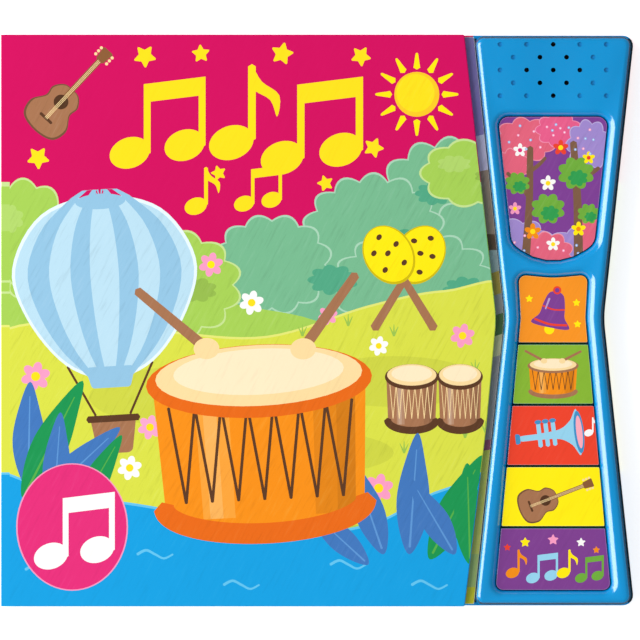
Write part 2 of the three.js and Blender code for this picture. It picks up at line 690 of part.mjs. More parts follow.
function keys() {
  const capTop = FACE - BEVEL_DEPTH + KEY_PROUD;
  const lugTop = COLLAR_BOTTOM - LUG_CLEARANCE;
  const capBottom = lugTop - LUG_THICKNESS;
  keyList().forEach(({ corners, foot, head, openFoot, openHead }, i) => {
    const number = i + 1;
    // Ends that face a neighbour already have the key space between them, so only the sides are set in.
    const grown = corners.map(([x, y, radius]) => {
      const atFoot = openFoot && Math.abs(y - foot) < 1e-6;
      const atHead = openHead && Math.abs(y - head) < 1e-6;
      return [x, y + (atHead ? KEY_CLEARANCE : 0) - (atFoot ? KEY_CLEARANCE : 0), radius];
    });
    const outline = insetCorners(grown, KEY_CLEARANCE);
    const middle = (foot + head) / 2;
    const reach = ((head - foot) * LUG_SHARE) / 2;
    const halfAt = (y) => (i ? keysHalfWidth(y) : topKeyHalfWidth(y)) + LUG;
    const lugCorners = [[-1, -1], [1, -1], [1, 1], [-1, 1]].map(([side, end]) => {
      const y = middle + end * reach;
      return new THREE.Vector2(MODULE_X + side * halfAt(y), y);
    });
    const lug = prism(lugCorners, capBottom, lugTop);
    const key = prism(roundedOutline(outline), capBottom, capTop).add(lug);
    place("key_" + number, key, MATERIALS.housing);
    const label = prism(roundedOutline(insetCorners(outline, LABEL_INSET)), capTop, capTop + LABEL);
    place("label_" + number, label, gloss(LABEL_COLOURS[i]));
    const domeTop = capBottom - DOME_GAP;
    const dome = turned(MODULE_X, middle, [
      [0, CIRCUIT_TOP],
      [DOME_RADIUS, CIRCUIT_TOP],
      [DOME_RADIUS, CIRCUIT_TOP + DOME_RIM],
      [DOME_RADIUS * 0.8, CIRCUIT_TOP + DOME_RIM * 1.4],
      [DOME_RADIUS * 0.55, domeTop],
      [0, domeTop],
    ], 16);
    place("dome_" + number, dome, MATERIALS.rubber);
  });
}
const LABEL_COLOURS = [0x7d3e91, 0xf6921e, 0x86b432, 0xeb4128, 0xffea03, 0x7d3e8d];

function circuit() {
  const halfAt = (y) => moduleHalfWidth(y) - CIRCUIT_MARGIN;
  const head = HEAD - CIRCUIT_DOWN;
  const foot = FOOT + CIRCUIT_FOOT;
  const outline = roundedOutline([
    [MODULE_X - halfAt(foot), foot, CIRCUIT_CORNER],
    [MODULE_X + halfAt(foot), foot, CIRCUIT_CORNER],
    [MODULE_X + halfAt(WAIST_Y), WAIST_Y, KEYS_WAIST_ROUND],
    [MODULE_X + halfAt(head), head, CIRCUIT_CORNER],
    [MODULE_X - halfAt(head), head, CIRCUIT_CORNER],
    [MODULE_X - halfAt(WAIST_Y), WAIST_Y, KEYS_WAIST_ROUND],
  ]);
  place("circuit_board", prism(outline, CIRCUIT_BOTTOM, CIRCUIT_TOP), MATERIALS.circuit);
  const chip = turned(MODULE_X + CHIP_ASIDE, head - CHIP_DOWN, [
    [0, CIRCUIT_TOP],
    [CHIP_RADIUS, CIRCUIT_TOP],
    [CHIP_RADIUS * 0.8, CIRCUIT_TOP + CHIP_HEIGHT * 0.7],
    [CHIP_RADIUS * 0.4, CIRCUIT_TOP + CHIP_HEIGHT],
    [0, CIRCUIT_TOP + CHIP_HEIGHT],
  ], 16);
  place("sound_chip", chip, MATERIALS.black);
}

function speaker() {
  const y = HEAD - GRILLE_DOWN;
  const top = FACE - WALL - FIT;
  const bottom = top - SPEAKER_DEPTH;
  const inner = SPEAKER_RADIUS - SPEAKER_SHEET;
  const neck = MAGNET_RADIUS - CONE_GAP;
  const frame = turned(MODULE_X, y, [
    [0, bottom],
    [neck, bottom],
    [neck + SPEAKER_SHEET, bottom + SPEAKER_SHEET],
    [inner, top - SPEAKER_RIM],
    [SPEAKER_RADIUS, top - SPEAKER_RIM],
    [SPEAKER_RADIUS, top],
    [inner, top],
    [inner - CONE_GAP, top - SPEAKER_RIM * 0.7],
    [neck, bottom + SPEAKER_SHEET],
    [0, bottom + SPEAKER_SHEET],
  ]);
  place("speaker_frame", frame, MATERIALS.steel);
  const magnet = turned(MODULE_X, y, [
    [0, bottom - MAGNET_DEPTH],
    [MAGNET_RADIUS, bottom - MAGNET_DEPTH],
    [MAGNET_RADIUS, bottom],
    [0, bottom],
  ]);
  place("speaker_magnet", magnet, MATERIALS.steel);
  const edge = inner - 2 * CONE_GAP;
  const coneTop = top - CONE_GAP;
  const coneFoot = bottom + CONE_LIFT;
  const cone = turned(MODULE_X, y, [
    [0, coneFoot + CONE_SHEET / 2],
    [CONE_DOME, coneFoot],
    [edge, coneTop - CONE_SHEET],
    [edge, coneTop],
    [edge - CONE_ROLL, coneTop],
    [CONE_DOME, coneFoot + CONE_SHEET],
    [0, coneFoot + CONE_SHEET * 1.5],
  ]);
  place("speaker_cone", cone, MATERIALS.paperCone);
  const board = HEAD - CIRCUIT_DOWN;
  [-1, 1].forEach((side, i) => {
    const x = MODULE_X + side * LEAD_ASIDE;
    const path = new THREE.CatmullRomCurve3([
      new THREE.Vector3(x, y - MAGNET_RADIUS - LEAD_START, bottom - LEAD),
      new THREE.Vector3(x, y - MAGNET_RADIUS - LEAD_BEND, bottom - 1.5 * LEAD),
      new THREE.Vector3(x, board - LEAD_LIFT, CIRCUIT_TOP + LEAD + LEAD_LIFT),
      new THREE.Vector3(x, board - LEAD_LAP, CIRCUIT_TOP + LEAD + LEAD_LIFT),
    ]);
    const section = new THREE.Shape().absarc(0, 0, LEAD, 0, 2 * Math.PI);
    const lead = new THREE.ExtrudeGeometry(section, { steps: 14, curveSegments: 6, extrudePath: path });
    place("speaker_lead_" + (i + 1), solid(lead), i ? MATERIALS.leadBlack : MATERIALS.leadRed);
  });
}

function battery() {
  const bay = baySize();
  for (let i = 0; i < CELL_COUNT; i++) {
    const y = bay.y + (i - (CELL_COUNT - 1) / 2) * CELL_PITCH;
    const top = bay.cellBottom + CELL_THICKNESS;
    const cell = turned(MODULE_X, y, [
      [0, bay.cellBottom],
      [CELL_RADIUS - 3 * CELL_EDGE, bay.cellBottom],
      [CELL_RADIUS - 2 * CELL_EDGE, bay.cellBottom + CELL_STEP],
      [CELL_RADIUS, bay.cellBottom + CELL_STEP + CELL_EDGE],
      [CELL_RADIUS, top - CELL_EDGE],
      [CELL_RADIUS - CELL_EDGE, top],
      [0, top],
    ]);
    place("button_cell_" + (i + 1), cell, MATERIALS.nickel);
  }
  const half = CONTACT_WIDTH / 2;
  const long = bay.pocketY - FIT;
  const strip = (bottom) =>
    box(MODULE_X - half, MODULE_X + half, bay.y - long, bay.y + long, bottom, bottom + CONTACT);
  place("battery_contact", strip(bay.pocketTop - CONTACT), MATERIALS.nickel);
  place("battery_spring", strip(bay.doorTop), MATERIALS.nickel);
  const outline = roundedOutline([
    [MODULE_X - bay.doorX, bay.y - bay.doorY, DOOR_CORNER],
    [MODULE_X + bay.doorX, bay.y - bay.doorY, DOOR_CORNER],
    [MODULE_X + bay.doorX, bay.y + bay.doorY, DOOR_CORNER],
    [MODULE_X - bay.doorX, bay.y + bay.doorY, DOOR_CORNER],
  ], 3);
  const headSeat = DOOR_RECESS + SCREW_HEAD_DEPTH * 0.7;
  const door = prism(outline, DOOR_RECESS, bay.doorTop)
    .subtract(cylinder(MODULE_X, bay.screwY, SCREW_SHANK + HOLE_PLAY, 0, BOARD, 12))
    .subtract(cylinder(MODULE_X, bay.screwY, SCREW_HEAD + HOLE_PLAY, 0, headSeat, 12));
  place("battery_door", door, MATERIALS.housing);
  place("battery_screw", screw(MODULE_X, bay.screwY, headSeat, DOOR_SCREW_LENGTH), MATERIALS.steel);
}

// A screw that points up, its head's upper face at height seat.
function screw(x, y, seat, length) {
  const under = seat - SCREW_HEAD_DEPTH * 0.7;
  const body = turned(x, y, [
    [0, under],
    [SCREW_HEAD * 0.85, under],
    [SCREW_HEAD, (under + seat) / 2],
    [SCREW_HEAD, seat],
    [SCREW_SHANK, seat],
    [SCREW_SHANK, seat + length - SCREW_SHANK],
    [SCREW_SHANK / 4, seat + length],
    [0, seat + length],
  ], 12);
  const arm = SCREW_HEAD * 0.7;
  const half = SCREW_SLOT / 2;
  const slotTop = under + SCREW_SLOT_DEPTH;
  const cross = box(x - arm, x + arm, y - half, y + half, under - CUT, slotTop)
    .add(box(x - half, x + half, y - arm, y + arm, under - CUT, slotTop));
  return body.subtract(cross);
}

function housingScrews() {
  screwPlaces().forEach(([x, y], i) => {
    const seat = BOARD + SCREW_HEAD_DEPTH - 0.2;
    place("housing_screw_" + (i + 1), screw(x, y, seat, SCREW_LENGTH), MATERIALS.steel);
  });
}

backCover();
spineBoard();
frontCover();
coverPrint();
pageBlock();
frontHousing();
rearHousing();
keys();
circuit();
speaker();
battery();
housingScrews();

export default book;
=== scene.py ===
"""The looks of a hardback children's sound book: printed case, page block and moulded sound module."""

import math
from math import cos, pi, sin

import bmesh
import bpy
import numpy
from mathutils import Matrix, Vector
from mathutils.geometry import delaunay_2d_cdt


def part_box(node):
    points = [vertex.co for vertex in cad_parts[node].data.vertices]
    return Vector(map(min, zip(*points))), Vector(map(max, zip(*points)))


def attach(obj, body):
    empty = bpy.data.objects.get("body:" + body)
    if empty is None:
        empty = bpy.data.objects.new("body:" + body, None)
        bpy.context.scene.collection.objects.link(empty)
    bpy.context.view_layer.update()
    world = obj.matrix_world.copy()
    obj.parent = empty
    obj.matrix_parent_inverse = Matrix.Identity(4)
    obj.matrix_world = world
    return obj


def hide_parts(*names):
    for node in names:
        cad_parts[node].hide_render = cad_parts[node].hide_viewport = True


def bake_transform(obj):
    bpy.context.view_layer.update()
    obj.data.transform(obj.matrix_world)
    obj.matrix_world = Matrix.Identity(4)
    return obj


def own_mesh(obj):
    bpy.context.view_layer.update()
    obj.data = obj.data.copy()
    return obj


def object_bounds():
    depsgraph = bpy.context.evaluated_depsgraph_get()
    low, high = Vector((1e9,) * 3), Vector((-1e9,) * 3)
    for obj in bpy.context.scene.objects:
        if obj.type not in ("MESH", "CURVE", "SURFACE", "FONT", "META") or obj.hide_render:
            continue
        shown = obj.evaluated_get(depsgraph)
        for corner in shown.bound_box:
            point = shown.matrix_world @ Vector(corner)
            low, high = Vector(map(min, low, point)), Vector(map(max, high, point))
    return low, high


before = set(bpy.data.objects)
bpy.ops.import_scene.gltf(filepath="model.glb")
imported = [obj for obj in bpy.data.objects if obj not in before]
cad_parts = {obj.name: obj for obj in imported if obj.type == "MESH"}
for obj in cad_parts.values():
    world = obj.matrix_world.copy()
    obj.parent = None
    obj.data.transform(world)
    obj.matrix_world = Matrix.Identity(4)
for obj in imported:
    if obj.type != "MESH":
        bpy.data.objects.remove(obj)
CAD_LOW, CAD_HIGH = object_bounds()
MM = 0.001

# Sheets, gaps and edges
WRAP = 0.12 * MM  # thickness of the printed paper that crosses the folds
HINGE_REACH = 3 * MM  # how far that paper lies on the cover, past its edge
HINGE_DOWN = 6 * MM  # and how far down the spine board
CASE_EDGE = 0.3 * MM  # rounded edges of the boards
COVER_EDGE = 0.25 * MM
KEY_EDGE = 0.05 * MM
ENDPAPER = 0.05 * MM  # thickness of the paper inside the cover
PAGE_INK = 0.04 * MM  # thickness of the first page's picture
COVER_RIM = 0.3  # mm of the case that shows round the picture
ENDPAPER_RIM = 4  # mm of the case that shows round the paper inside the cover
CORNER_SIDE = 0.3  # mm; shorter sides of an outline belong to a rounded corner
LABEL_OVER = 0.2  # mm by which a printed label reaches past the CAD label, to the key cap's edge
PAINTED_SHADE_END = 1.2 * MM  # painted shade beside the module, on the back cover's face, stops this far from head and foot
CUT_SIDE = 50 * MM  # the leaves' die-cut edge lies beyond this x
CUT_REACH_LOW = 0.65 * MM  # what the leaves reach past the CAD block there, at the lowest
CUT_REACH_HIGH = 1.45 * MM  # and at the uppermost leaf
LEAF_OVER = 0.6 * MM  # the leaves' edges at head and foot, past the CAD block
KEYS = range(1, 7)

# Skins
STROKE_TURN = -0.5  # the crayon strokes lean to the right
KEY_PAINTED_LIGHT = 0.12  # painted light: the keys' plastic emits its own colour at this strength, lightening the shaded gaps between them

# Camera, light and floor
PHOTO_SCALE = 0.3935 * MM  # metres to one pixel, on the plane of the cover's face
PHOTO_SIDE = 640
PHOTO_CENTRE = (0.0009, 0.0002)  # what lies in the middle of the frame
LENS = 600
SENSOR = 36
WORLD_DIFFUSE = 0.57
WORLD_MIRRORED = 0.03
KEY_PLACE = (-1.5, 0.15, 0.86)
KEY_TARGET = (0.1, 0, 0)
KEY_SIZE = (1.55, 2.6)
KEY_POWER = 52.0
FLOOR_SIDE = 8
FLOOR_DROP = 0.2 * MM  # the floor lies this far below the book
FLOOR_GLOW = 0.55  # lifts the floor to white for the camera alone

# Colours, as seen in the photograph (sRGB)
MAGENTA = "#d0005c"
YELLOW = "#ffdc12"
SUN_YELLOW = "#ffe600"
ORANGE = "#f18c0e"
DEEP_ORANGE = "#e4670f"
GREEN = "#a2cb52"
TEAL = "#74b68c"
DEEP_TEAL = "#4fa581"
LIME = "#d4da44"
SKY_BLUE = "#0a9cdc"
LEAF_BLUE = "#3f74b8"
LEAF_BLUE_LIGHT = "#5b93cf"
LEAF_GREEN = "#18934f"
LEAF_GREEN_LIGHT = "#55ab45"
PALE_BLUE = "#b6d9ea"
PALE_BLUE_SHADE = "#8fbfdc"
BROWN = "#a4714f"
DARK_BROWN = "#5c3a24"
NECK_BROWN = "#8a5a34"
CREAM = "#f6d79c"
PINK = "#e02a76"
LIGHT_PINK = "#f59ac0"
RED = "#e9402c"
VIOLET = "#7d3e91"
LILAC = "#9d86c9"
WHITE = "#f7f5f2"
BLUE_PLASTIC = "#009adf"
FRESH_GREEN = "#6eaa3a"
ROSE = "#e55b88"


def linear(colour):
    """A #rrggbb colour as linear red, green, blue and alpha."""
    values = [int(colour[i : i + 2], 16) / 255 for i in (1, 3, 5)]
    return [v / 12.92 if v <= 0.04045 else ((v + 0.055) / 1.055) ** 2.4 for v in values] + [1.0]


def shaded(colour, factor):
    """The colour made darker (factor below 1) or mixed towards white (above 1)."""
    values = [int(colour[i : i + 2], 16) for i in (1, 3, 5)]
    if factor <= 1:
        values = [v * factor for v in values]
    else:
        values = [v + (255 - v) * (factor - 1) for v in values]
    return "#" + "".join(f"{round(min(255, v)):02x}" for v in values)


# Node materials


class Graph:
    """A material's node tree with short ways to add and join nodes."""

    def __init__(self, name):
        self.material = bpy.data.materials.new(name)
        self.material.use_nodes = True
        self.tree = self.material.node_tree
        self.surface = self.tree.nodes["Principled BSDF"]

    def node(self, kind, **settings):
        made = self.tree.nodes.new(kind)
        for key, value in settings.items():
            setattr(made, key, value)
        return made

    def join(self, source, target):
        self.tree.links.new(source, target)

    def feed(self, socket, value):
        """Gives a socket a value, or joins it to another node's output."""
        if hasattr(value, "is_linked"):
            self.join(value, socket)
        else:
            socket.default_value = value

    def place(self, scale=(1, 1, 1), turn=0.0):
        """Object coordinates, in metres, along axes turned about Z and then scaled."""
        coordinates = self.node("ShaderNodeTexCoord")
        mapping = self.node("ShaderNodeMapping", vector_type="TEXTURE")
        mapping.inputs["Rotation"].default_value = (0, 0, turn)
        mapping.inputs["Scale"].default_value = [1 / share for share in scale]
        self.join(coordinates.outputs["Object"], mapping.inputs["Vector"])
        return mapping.outputs["Vector"]

    def noise(self, place, size, detail=3.0, roughness=0.5):
        texture = self.node("ShaderNodeTexNoise")
        texture.inputs["Scale"].default_value = 1 / size
        texture.inputs["Detail"].default_value = detail
        texture.inputs["Roughness"].default_value = roughness
        self.join(place, texture.inputs["Vector"])
        return texture.outputs["Fac"]

    def ramp(self, value, stops, interpolation="LINEAR"):
        ramp = self.node("ShaderNodeValToRGB")
        ramp.color_ramp.interpolation = interpolation
        elements = ramp.color_ramp.elements
        while len(elements) < len(stops):
            elements.new(0.5)
        for element, (at, colour) in zip(elements, stops):
            element.position = at
            element.color = colour if isinstance(colour, (list, tuple)) else linear(colour)
        self.join(value, ramp.inputs["Fac"])
        return ramp.outputs["Color"]

    def mix(self, factor, first, second):
        mix = self.node("ShaderNodeMix", data_type="RGBA")
        for socket, value in ((mix.inputs[0], factor), (mix.inputs[6], first), (mix.inputs[7], second)):
            self.feed(socket, value)
        return mix.outputs[2]

    def math(self, operation, *values):
        made = self.node("ShaderNodeMath", operation=operation)
        for socket, value in zip(made.inputs, values):
            self.feed(socket, value)
        return made.outputs[0]

    def axes(self):
        """The object coordinates' three outputs, called X, Y and Z."""
        parts = self.node("ShaderNodeSeparateXYZ")
        self.join(self.place(), parts.inputs[0])
        return parts.outputs

    def bump(self, height, strength, distance, after=None):
        bump = self.node("ShaderNodeBump")
        bump.inputs["Strength"].default_value = strength
        bump.inputs["Distance"].default_value = distance
        self.join(height, bump.inputs["Height"])
        if after:
            self.join(after, bump.inputs["Normal"])
        return bump.outputs["Normal"]

    def set(self, **values):
        for name, value in values.items():
            self.feed(self.surface.inputs[name.replace("_", " ")], value)
        return self.material


def grey(value):
    return [value, value, value, 1]


def laminated(graph):
    """The skin of a laminated print: low waves of the board, fine paper grain and a clear film."""
    waves = graph.noise(graph.place(), 0.05, 1.0)
    grain = graph.noise(graph.place(), 0.0009, 2.0)
    normal = graph.bump(waves, 0.25, 0.0004)
    normal = graph.bump(grain, 0.12, 0.00004, normal)
    graph.set(Normal=normal, Roughness=0.3, Specular_IOR_Level=0.22)


def printed(name, colour, hatch):
    """Ink on laminated paper with soft crayon strokes through the colour."""
    graph = Graph(name)
    strokes = graph.noise(graph.place((1, 0.09, 1), STROKE_TURN), 0.0012, 3.0, 0.6)
    cloud = graph.noise(graph.place(), 0.03, 2.0)
    light = linear(shaded(colour, 1.1))
    dark = linear(shaded(colour, 0.93))
    base = linear(colour)
    stroke = graph.ramp(strokes, [(0.3, dark), (0.46, base), (0.56, base), (0.74, light)])
    plain = graph.ramp(cloud, [(0.2, linear(shaded(colour, 0.98))), (0.8, base)])
    graph.set(Base_Color=graph.mix(min(1.0, hatch * 9), plain, stroke))
    laminated(graph)
    return graph.material


_prints = {}


def ink(colour, hatch=0.03):
    """One printed material for each colour and strength of stroke."""
    key = (colour, hatch)
    if key not in _prints:
        _prints[key] = printed(f"ink_{colour[1:]}_{round(hatch * 100)}", colour, hatch)
    return _prints[key]


def moulded(name, colour, roughness=0.2, glow=0.0):
    """Glossy moulded plastic with a faint flow and a fine skin; glow: painted light, the strength at which
    the plastic emits its own colour though it is no lamp, to lighten the shade in gaps.
    """
    graph = Graph(name)
    flow = graph.noise(graph.place((1, 0.4, 1)), 0.03, 2.0)
    skin = graph.noise(graph.place(), 0.0006, 2.0)
    dull = graph.noise(graph.place(), 0.012, 4.0)
    colours = [(0.25, linear(shaded(colour, 0.95))), (0.75, linear(shaded(colour, 1.02)))]
    graph.set(Base_Color=graph.ramp(flow, colours))
    rough = graph.ramp(dull, [(0.3, grey(roughness * 0.85)), (0.75, grey(roughness * 1.25))])
    graph.set(Roughness=rough, Normal=graph.bump(skin, 0.06, 0.00003))
    # painted light: the plastic emits its own colour, though it is no lamp
    graph.set(Emission_Color=linear(colour), Emission_Strength=glow)
    graph.set(Coat_Weight=1.0, Coat_Roughness=0.12, Coat_IOR=1.9)
    return graph.material


def dull_plastic(name, colour, roughness=0.55):
    graph = Graph(name)
    grain = graph.noise(graph.place(), 0.0012, 3.0)
    tone = graph.noise(graph.place(), 0.01, 3.0)
    graph.set(Base_Color=graph.ramp(tone, [(0.3, shaded(colour, 0.88)), (0.7, shaded(colour, 1.06))]))
    return graph.set(Roughness=roughness, Normal=graph.bump(grain, 0.2, 0.00005))


def metal(name, colour, roughness=0.28):
    graph = Graph(name)
    brushed = graph.noise(graph.place((1, 0.06, 1)), 0.0006, 3.0)
    stain = graph.noise(graph.place(), 0.006, 3.0)
    graph.set(Base_Color=graph.ramp(stain, [(0.3, shaded(colour, 0.9)), (0.7, colour)]))
    worn = [(0.3, grey(roughness * 0.75)), (0.7, grey(roughness * 1.35))]
    graph.set(Roughness=graph.ramp(brushed, worn), Metallic=1.0)
    return graph.set(Normal=graph.bump(brushed, 0.1, 0.00002))


def page_material():
    """Stiff coated leaves: cream paper on top, fibres along the cut edges."""
    graph = Graph("page_board")
    axes = graph.axes()
    paper = graph.noise(graph.place(), 0.02, 3.0)
    cream = graph.ramp(paper, [(0.3, "#efe9d8"), (0.7, "#f8f4e8")])
    top = graph.math("GREATER_THAN", axes["Z"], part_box("page_block")[1].z - 0.02 * MM)
    fibres = graph.noise(graph.place((1, 1, 9)), 0.0016, 3.0)
    edge = graph.ramp(fibres, [(0.3, "#cfc8ba"), (0.7, "#f2ede2")])
    graph.set(Base_Color=graph.mix(top, edge, cream), Roughness=0.42)
    return graph.set(Normal=graph.bump(fibres, 0.25, 0.00006))


def cloth_material():
    """Open-weave lining glued over the page block's spine."""
    graph = Graph("spine_lining")
    wave_a = graph.node("ShaderNodeTexWave", bands_direction="Y")
    wave_b = graph.node("ShaderNodeTexWave", bands_direction="Z")
    for wave in (wave_a, wave_b):
        wave.inputs["Scale"].default_value = 420
        graph.join(graph.place(), wave.inputs["Vector"])
    weave = graph.mix(0.5, wave_a.outputs["Color"], wave_b.outputs["Color"])
    graph.set(Base_Color=graph.ramp(weave, [(0.2, "#bdb49c"), (0.8, "#ece5d2")]), Roughness=0.9)
    return graph.set(Normal=graph.bump(weave, 0.5, 0.0001))


def circuit_material():
    """Green board with copper tracks under the solder mask."""
    graph = Graph("circuit")
    brick = graph.node("ShaderNodeTexBrick")
    brick.inputs["Scale"].default_value = 260
    brick.inputs["Mortar Size"].default_value = 0.09
    brick.inputs["Color1"].default_value = linear("#1f6a35")
    brick.inputs["Color2"].default_value = linear("#1b5f30")
    brick.inputs["Mortar"].default_value = linear("#3c9150")
    graph.join(graph.place(), brick.inputs["Vector"])
    return graph.set(Base_Color=brick.outputs["Color"], Roughness=0.35)


# Outlines, in millimetres


def rounded(corners, steps=6):
    """A closed outline from corners (x, y, radius)."""
    points = []
    for i, (x, y, radius) in enumerate(corners):
        corner = Vector((x, y))
        before = (Vector(corners[i - 1][:2]) - corner).normalized()
        after = (Vector(corners[(i + 1) % len(corners)][:2]) - corner).normalized()
        opening = math.acos(max(-1, min(1, before.dot(after))))
        reach = radius / math.tan(opening / 2)
        centre = corner + (before + after).normalized() * (radius / sin(opening / 2))
        start = corner + before * reach - centre
        end = corner + after * reach - centre
        turn = math.atan2(start.x * end.y - start.y * end.x, start.dot(end))
        for k in range(steps + 1):
            angle = turn * k / steps
            c, s = cos(angle), sin(angle)
            points.append((centre.x + start.x * c - start.y * s, centre.y + start.x * s + start.y * c))
    return points


def bend(p0, p1, p2, p3, t):
    """The place at the share t of the way from p1 to p2, on a smooth curve through four points."""
    square = (2 * p0 - 5 * p1 + 4 * p2 - p3) * t * t
    return 0.5 * (2 * p1 + (p2 - p0) * t + square + (3 * p1 - p0 - 3 * p2 + p3) * t**3)


def smooth(points, steps=8):
    """A closed smooth curve through the points."""
    made = []
    for i in range(len(points)):
        near = [Vector(points[(i + k) % len(points)]) for k in (-1, 0, 1, 2)]
        made += [tuple(bend(*near, k / steps)) for k in range(steps)]
    return made


def polar(x, y, reach, angle):
    """The place at a distance and an angle from x, y."""
    return x + reach * cos(angle), y + reach * sin(angle)


def grown(places, size):
    """Places, or corners (x, y, radius), made larger by size."""
    return [tuple(value * size for value in place) for place in places]


def mirrored(half):
    """Half an outline, from one point on its axis to the other, with its mirror image."""
    return half + [(-x, y) for x, y in reversed(half) if x]


def block(foot, low, head, high, foot_radius, head_radius):
    """A block with rounded corners; foot and head are half its widths there."""
    below = [(-foot, low, foot_radius), (foot, low, foot_radius)]
    return rounded(below + [(head, high, head_radius), (-head, high, head_radius)])


def oval(x, y, rx, ry=None, turn=0.0, steps=36):
    ry = rx if ry is None else ry
    c, s = cos(turn), sin(turn)
    made = []
    for i in range(steps):
        a = 2 * pi * i / steps
        px, py = rx * cos(a), ry * sin(a)
        made.append((x + px * c - py * s, y + px * s + py * c))
    return made


def scallops(x, y, rx, ry, bumps, depth):
    """A bush or cloud: an oval with round bumps."""
    made = []
    total = bumps * 9
    for i in range(total):
        a = 2 * pi * i / total
        swell = 1 + depth * (abs(sin(a * bumps / 2)) - 0.5) * 2
        made.append((x + rx * swell * cos(a), y + ry * swell * sin(a)))
    return made


def star(x, y, radius, turn=0.0):
    """A soft star with five points."""
    corners = []
    for i in range(10):
        reach = radius if i % 2 == 0 else radius * 0.5
        corners.append((*polar(x, y, reach, turn + pi / 2 + pi * i / 5), radius * 0.09))
    return rounded(corners, 3)


def stroke(points, width, end_width=None, steps=6):
    """A thick line with round ends along a smooth open curve."""
    end_width = width if end_width is None else end_width
    line = []
    final = len(points) - 1
    for i in range(final):
        near = [Vector(points[min(max(i + k, 0), final)]) for k in (-1, 0, 1, 2)]
        line += [bend(*near, k / steps) for k in range(steps)]
    line.append(Vector(points[-1]))
    left, right = [], []
    for i, p in enumerate(line):
        along = (line[min(i + 1, len(line) - 1)] - line[max(i - 1, 0)]).normalized()
        half = (width + (end_width - width) * i / (len(line) - 1)) / 2
        side = Vector((-along.y, along.x)) * half
        left.append(p + side)
        right.append(p - side)
    first = (line[1] - line[0]).normalized() * (width * 0.3)
    last = (line[-1] - line[-2]).normalized() * (end_width * 0.3)
    outline = [line[0] - first] + right + [line[-1] + last] + left[::-1]
    return [tuple(p) for p in outline]


def leaf(x, y, length, width, turn):
    """A pointed leaf from its foot at x, y."""
    upper = [(0, 0), (0.18, 0.34), (0.45, 0.5), (0.75, 0.33), (1, 0)]
    shape = upper + [(0.75, -0.3), (0.45, -0.5), (0.18, -0.36)]
    c, s = cos(turn), sin(turn)
    points = [(x + length * u * c - width * v * s, y + length * u * s + width * v * c) for u, v in shape]
    return smooth(points, 5)


def inset(points, depth):
    """An anticlockwise outline with every side moved inwards."""
    moved = []
    for i, point in enumerate(points):
        before = (Vector(point) - Vector(points[i - 1])).normalized()
        after = (Vector(points[(i + 1) % len(points)]) - Vector(point)).normalized()
        side = Vector((-before.y - after.y, before.x + after.x))
        moved.append(tuple(Vector(point) + side * (depth / max(0.4, 1 + before.dot(after)))))
    return moved


def sharpened(points, least):
    """An outline whose rounded corners, made of sides shorter than least, are drawn out to a point."""
    pairs = zip(points, points[1:] + points[:1])
    sides = [(Vector(a), Vector(b)) for a, b in pairs if math.dist(a, b) > least]
    corners = []
    for (a, b), (c, d) in zip(sides, sides[1:] + sides[:1]):
        turn = (b - a).cross(d - c)
        corners.append(tuple(a + (b - a) * ((c - a).cross(d - c) / turn) if abs(turn) > 1e-6 else b))
    return corners


def outline_of(node):
    """The outline of a flat CAD node's upper face in millimetres, anticlockwise."""
    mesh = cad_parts[node].data
    top = max(v.co.z for v in mesh.vertices)
    key = [(round(v.co.x / MM, 3), round(v.co.y / MM, 3)) for v in mesh.vertices]
    ways = set()
    for face in mesh.polygons:
        if face.normal.z > 0.99 and all(top - mesh.vertices[v].co.z < 1e-6 for v in face.vertices):
            corners = [key[v] for v in face.vertices]
            ways.update(zip(corners, corners[1:] + corners[:1]))
    rim = {a: b for a, b in ways if (b, a) not in ways}
    start = next(iter(sorted(rim)))
    outline = [start]
    while rim[outline[-1]] != start:
        outline.append(rim[outline[-1]])
    return outline


def within(places, outline):
    """Which of the places (an array of x, y) lie inside an outline, by winding number."""
    turns = numpy.zeros(len(places), int)
    corners = numpy.array(outline)
    near = (places >= corners.min(axis=0)).all(axis=1) & (places <= corners.max(axis=0)).all(axis=1)
    x, y = places[near].T
    count = numpy.zeros(len(x), int)
    for (ax, ay), (bx, by) in zip(corners, numpy.roll(corners, -1, axis=0)):
        side = (bx - ax) * (y - ay) - (by - ay) * (x - ax)
        count += (ay <= y) & (by > y) & (side > 0)
        count -= (ay > y) & (by <= y) & (side < 0)
    turns[near] = count
    return turns != 0


# Print: flat fields of ink side by side


def linked(name, data):
    """A new object with this mesh, camera or light, in the scene."""
    piece = bpy.data.objects.new(name, data)
    bpy.context.scene.collection.objects.link(piece)
    return piece


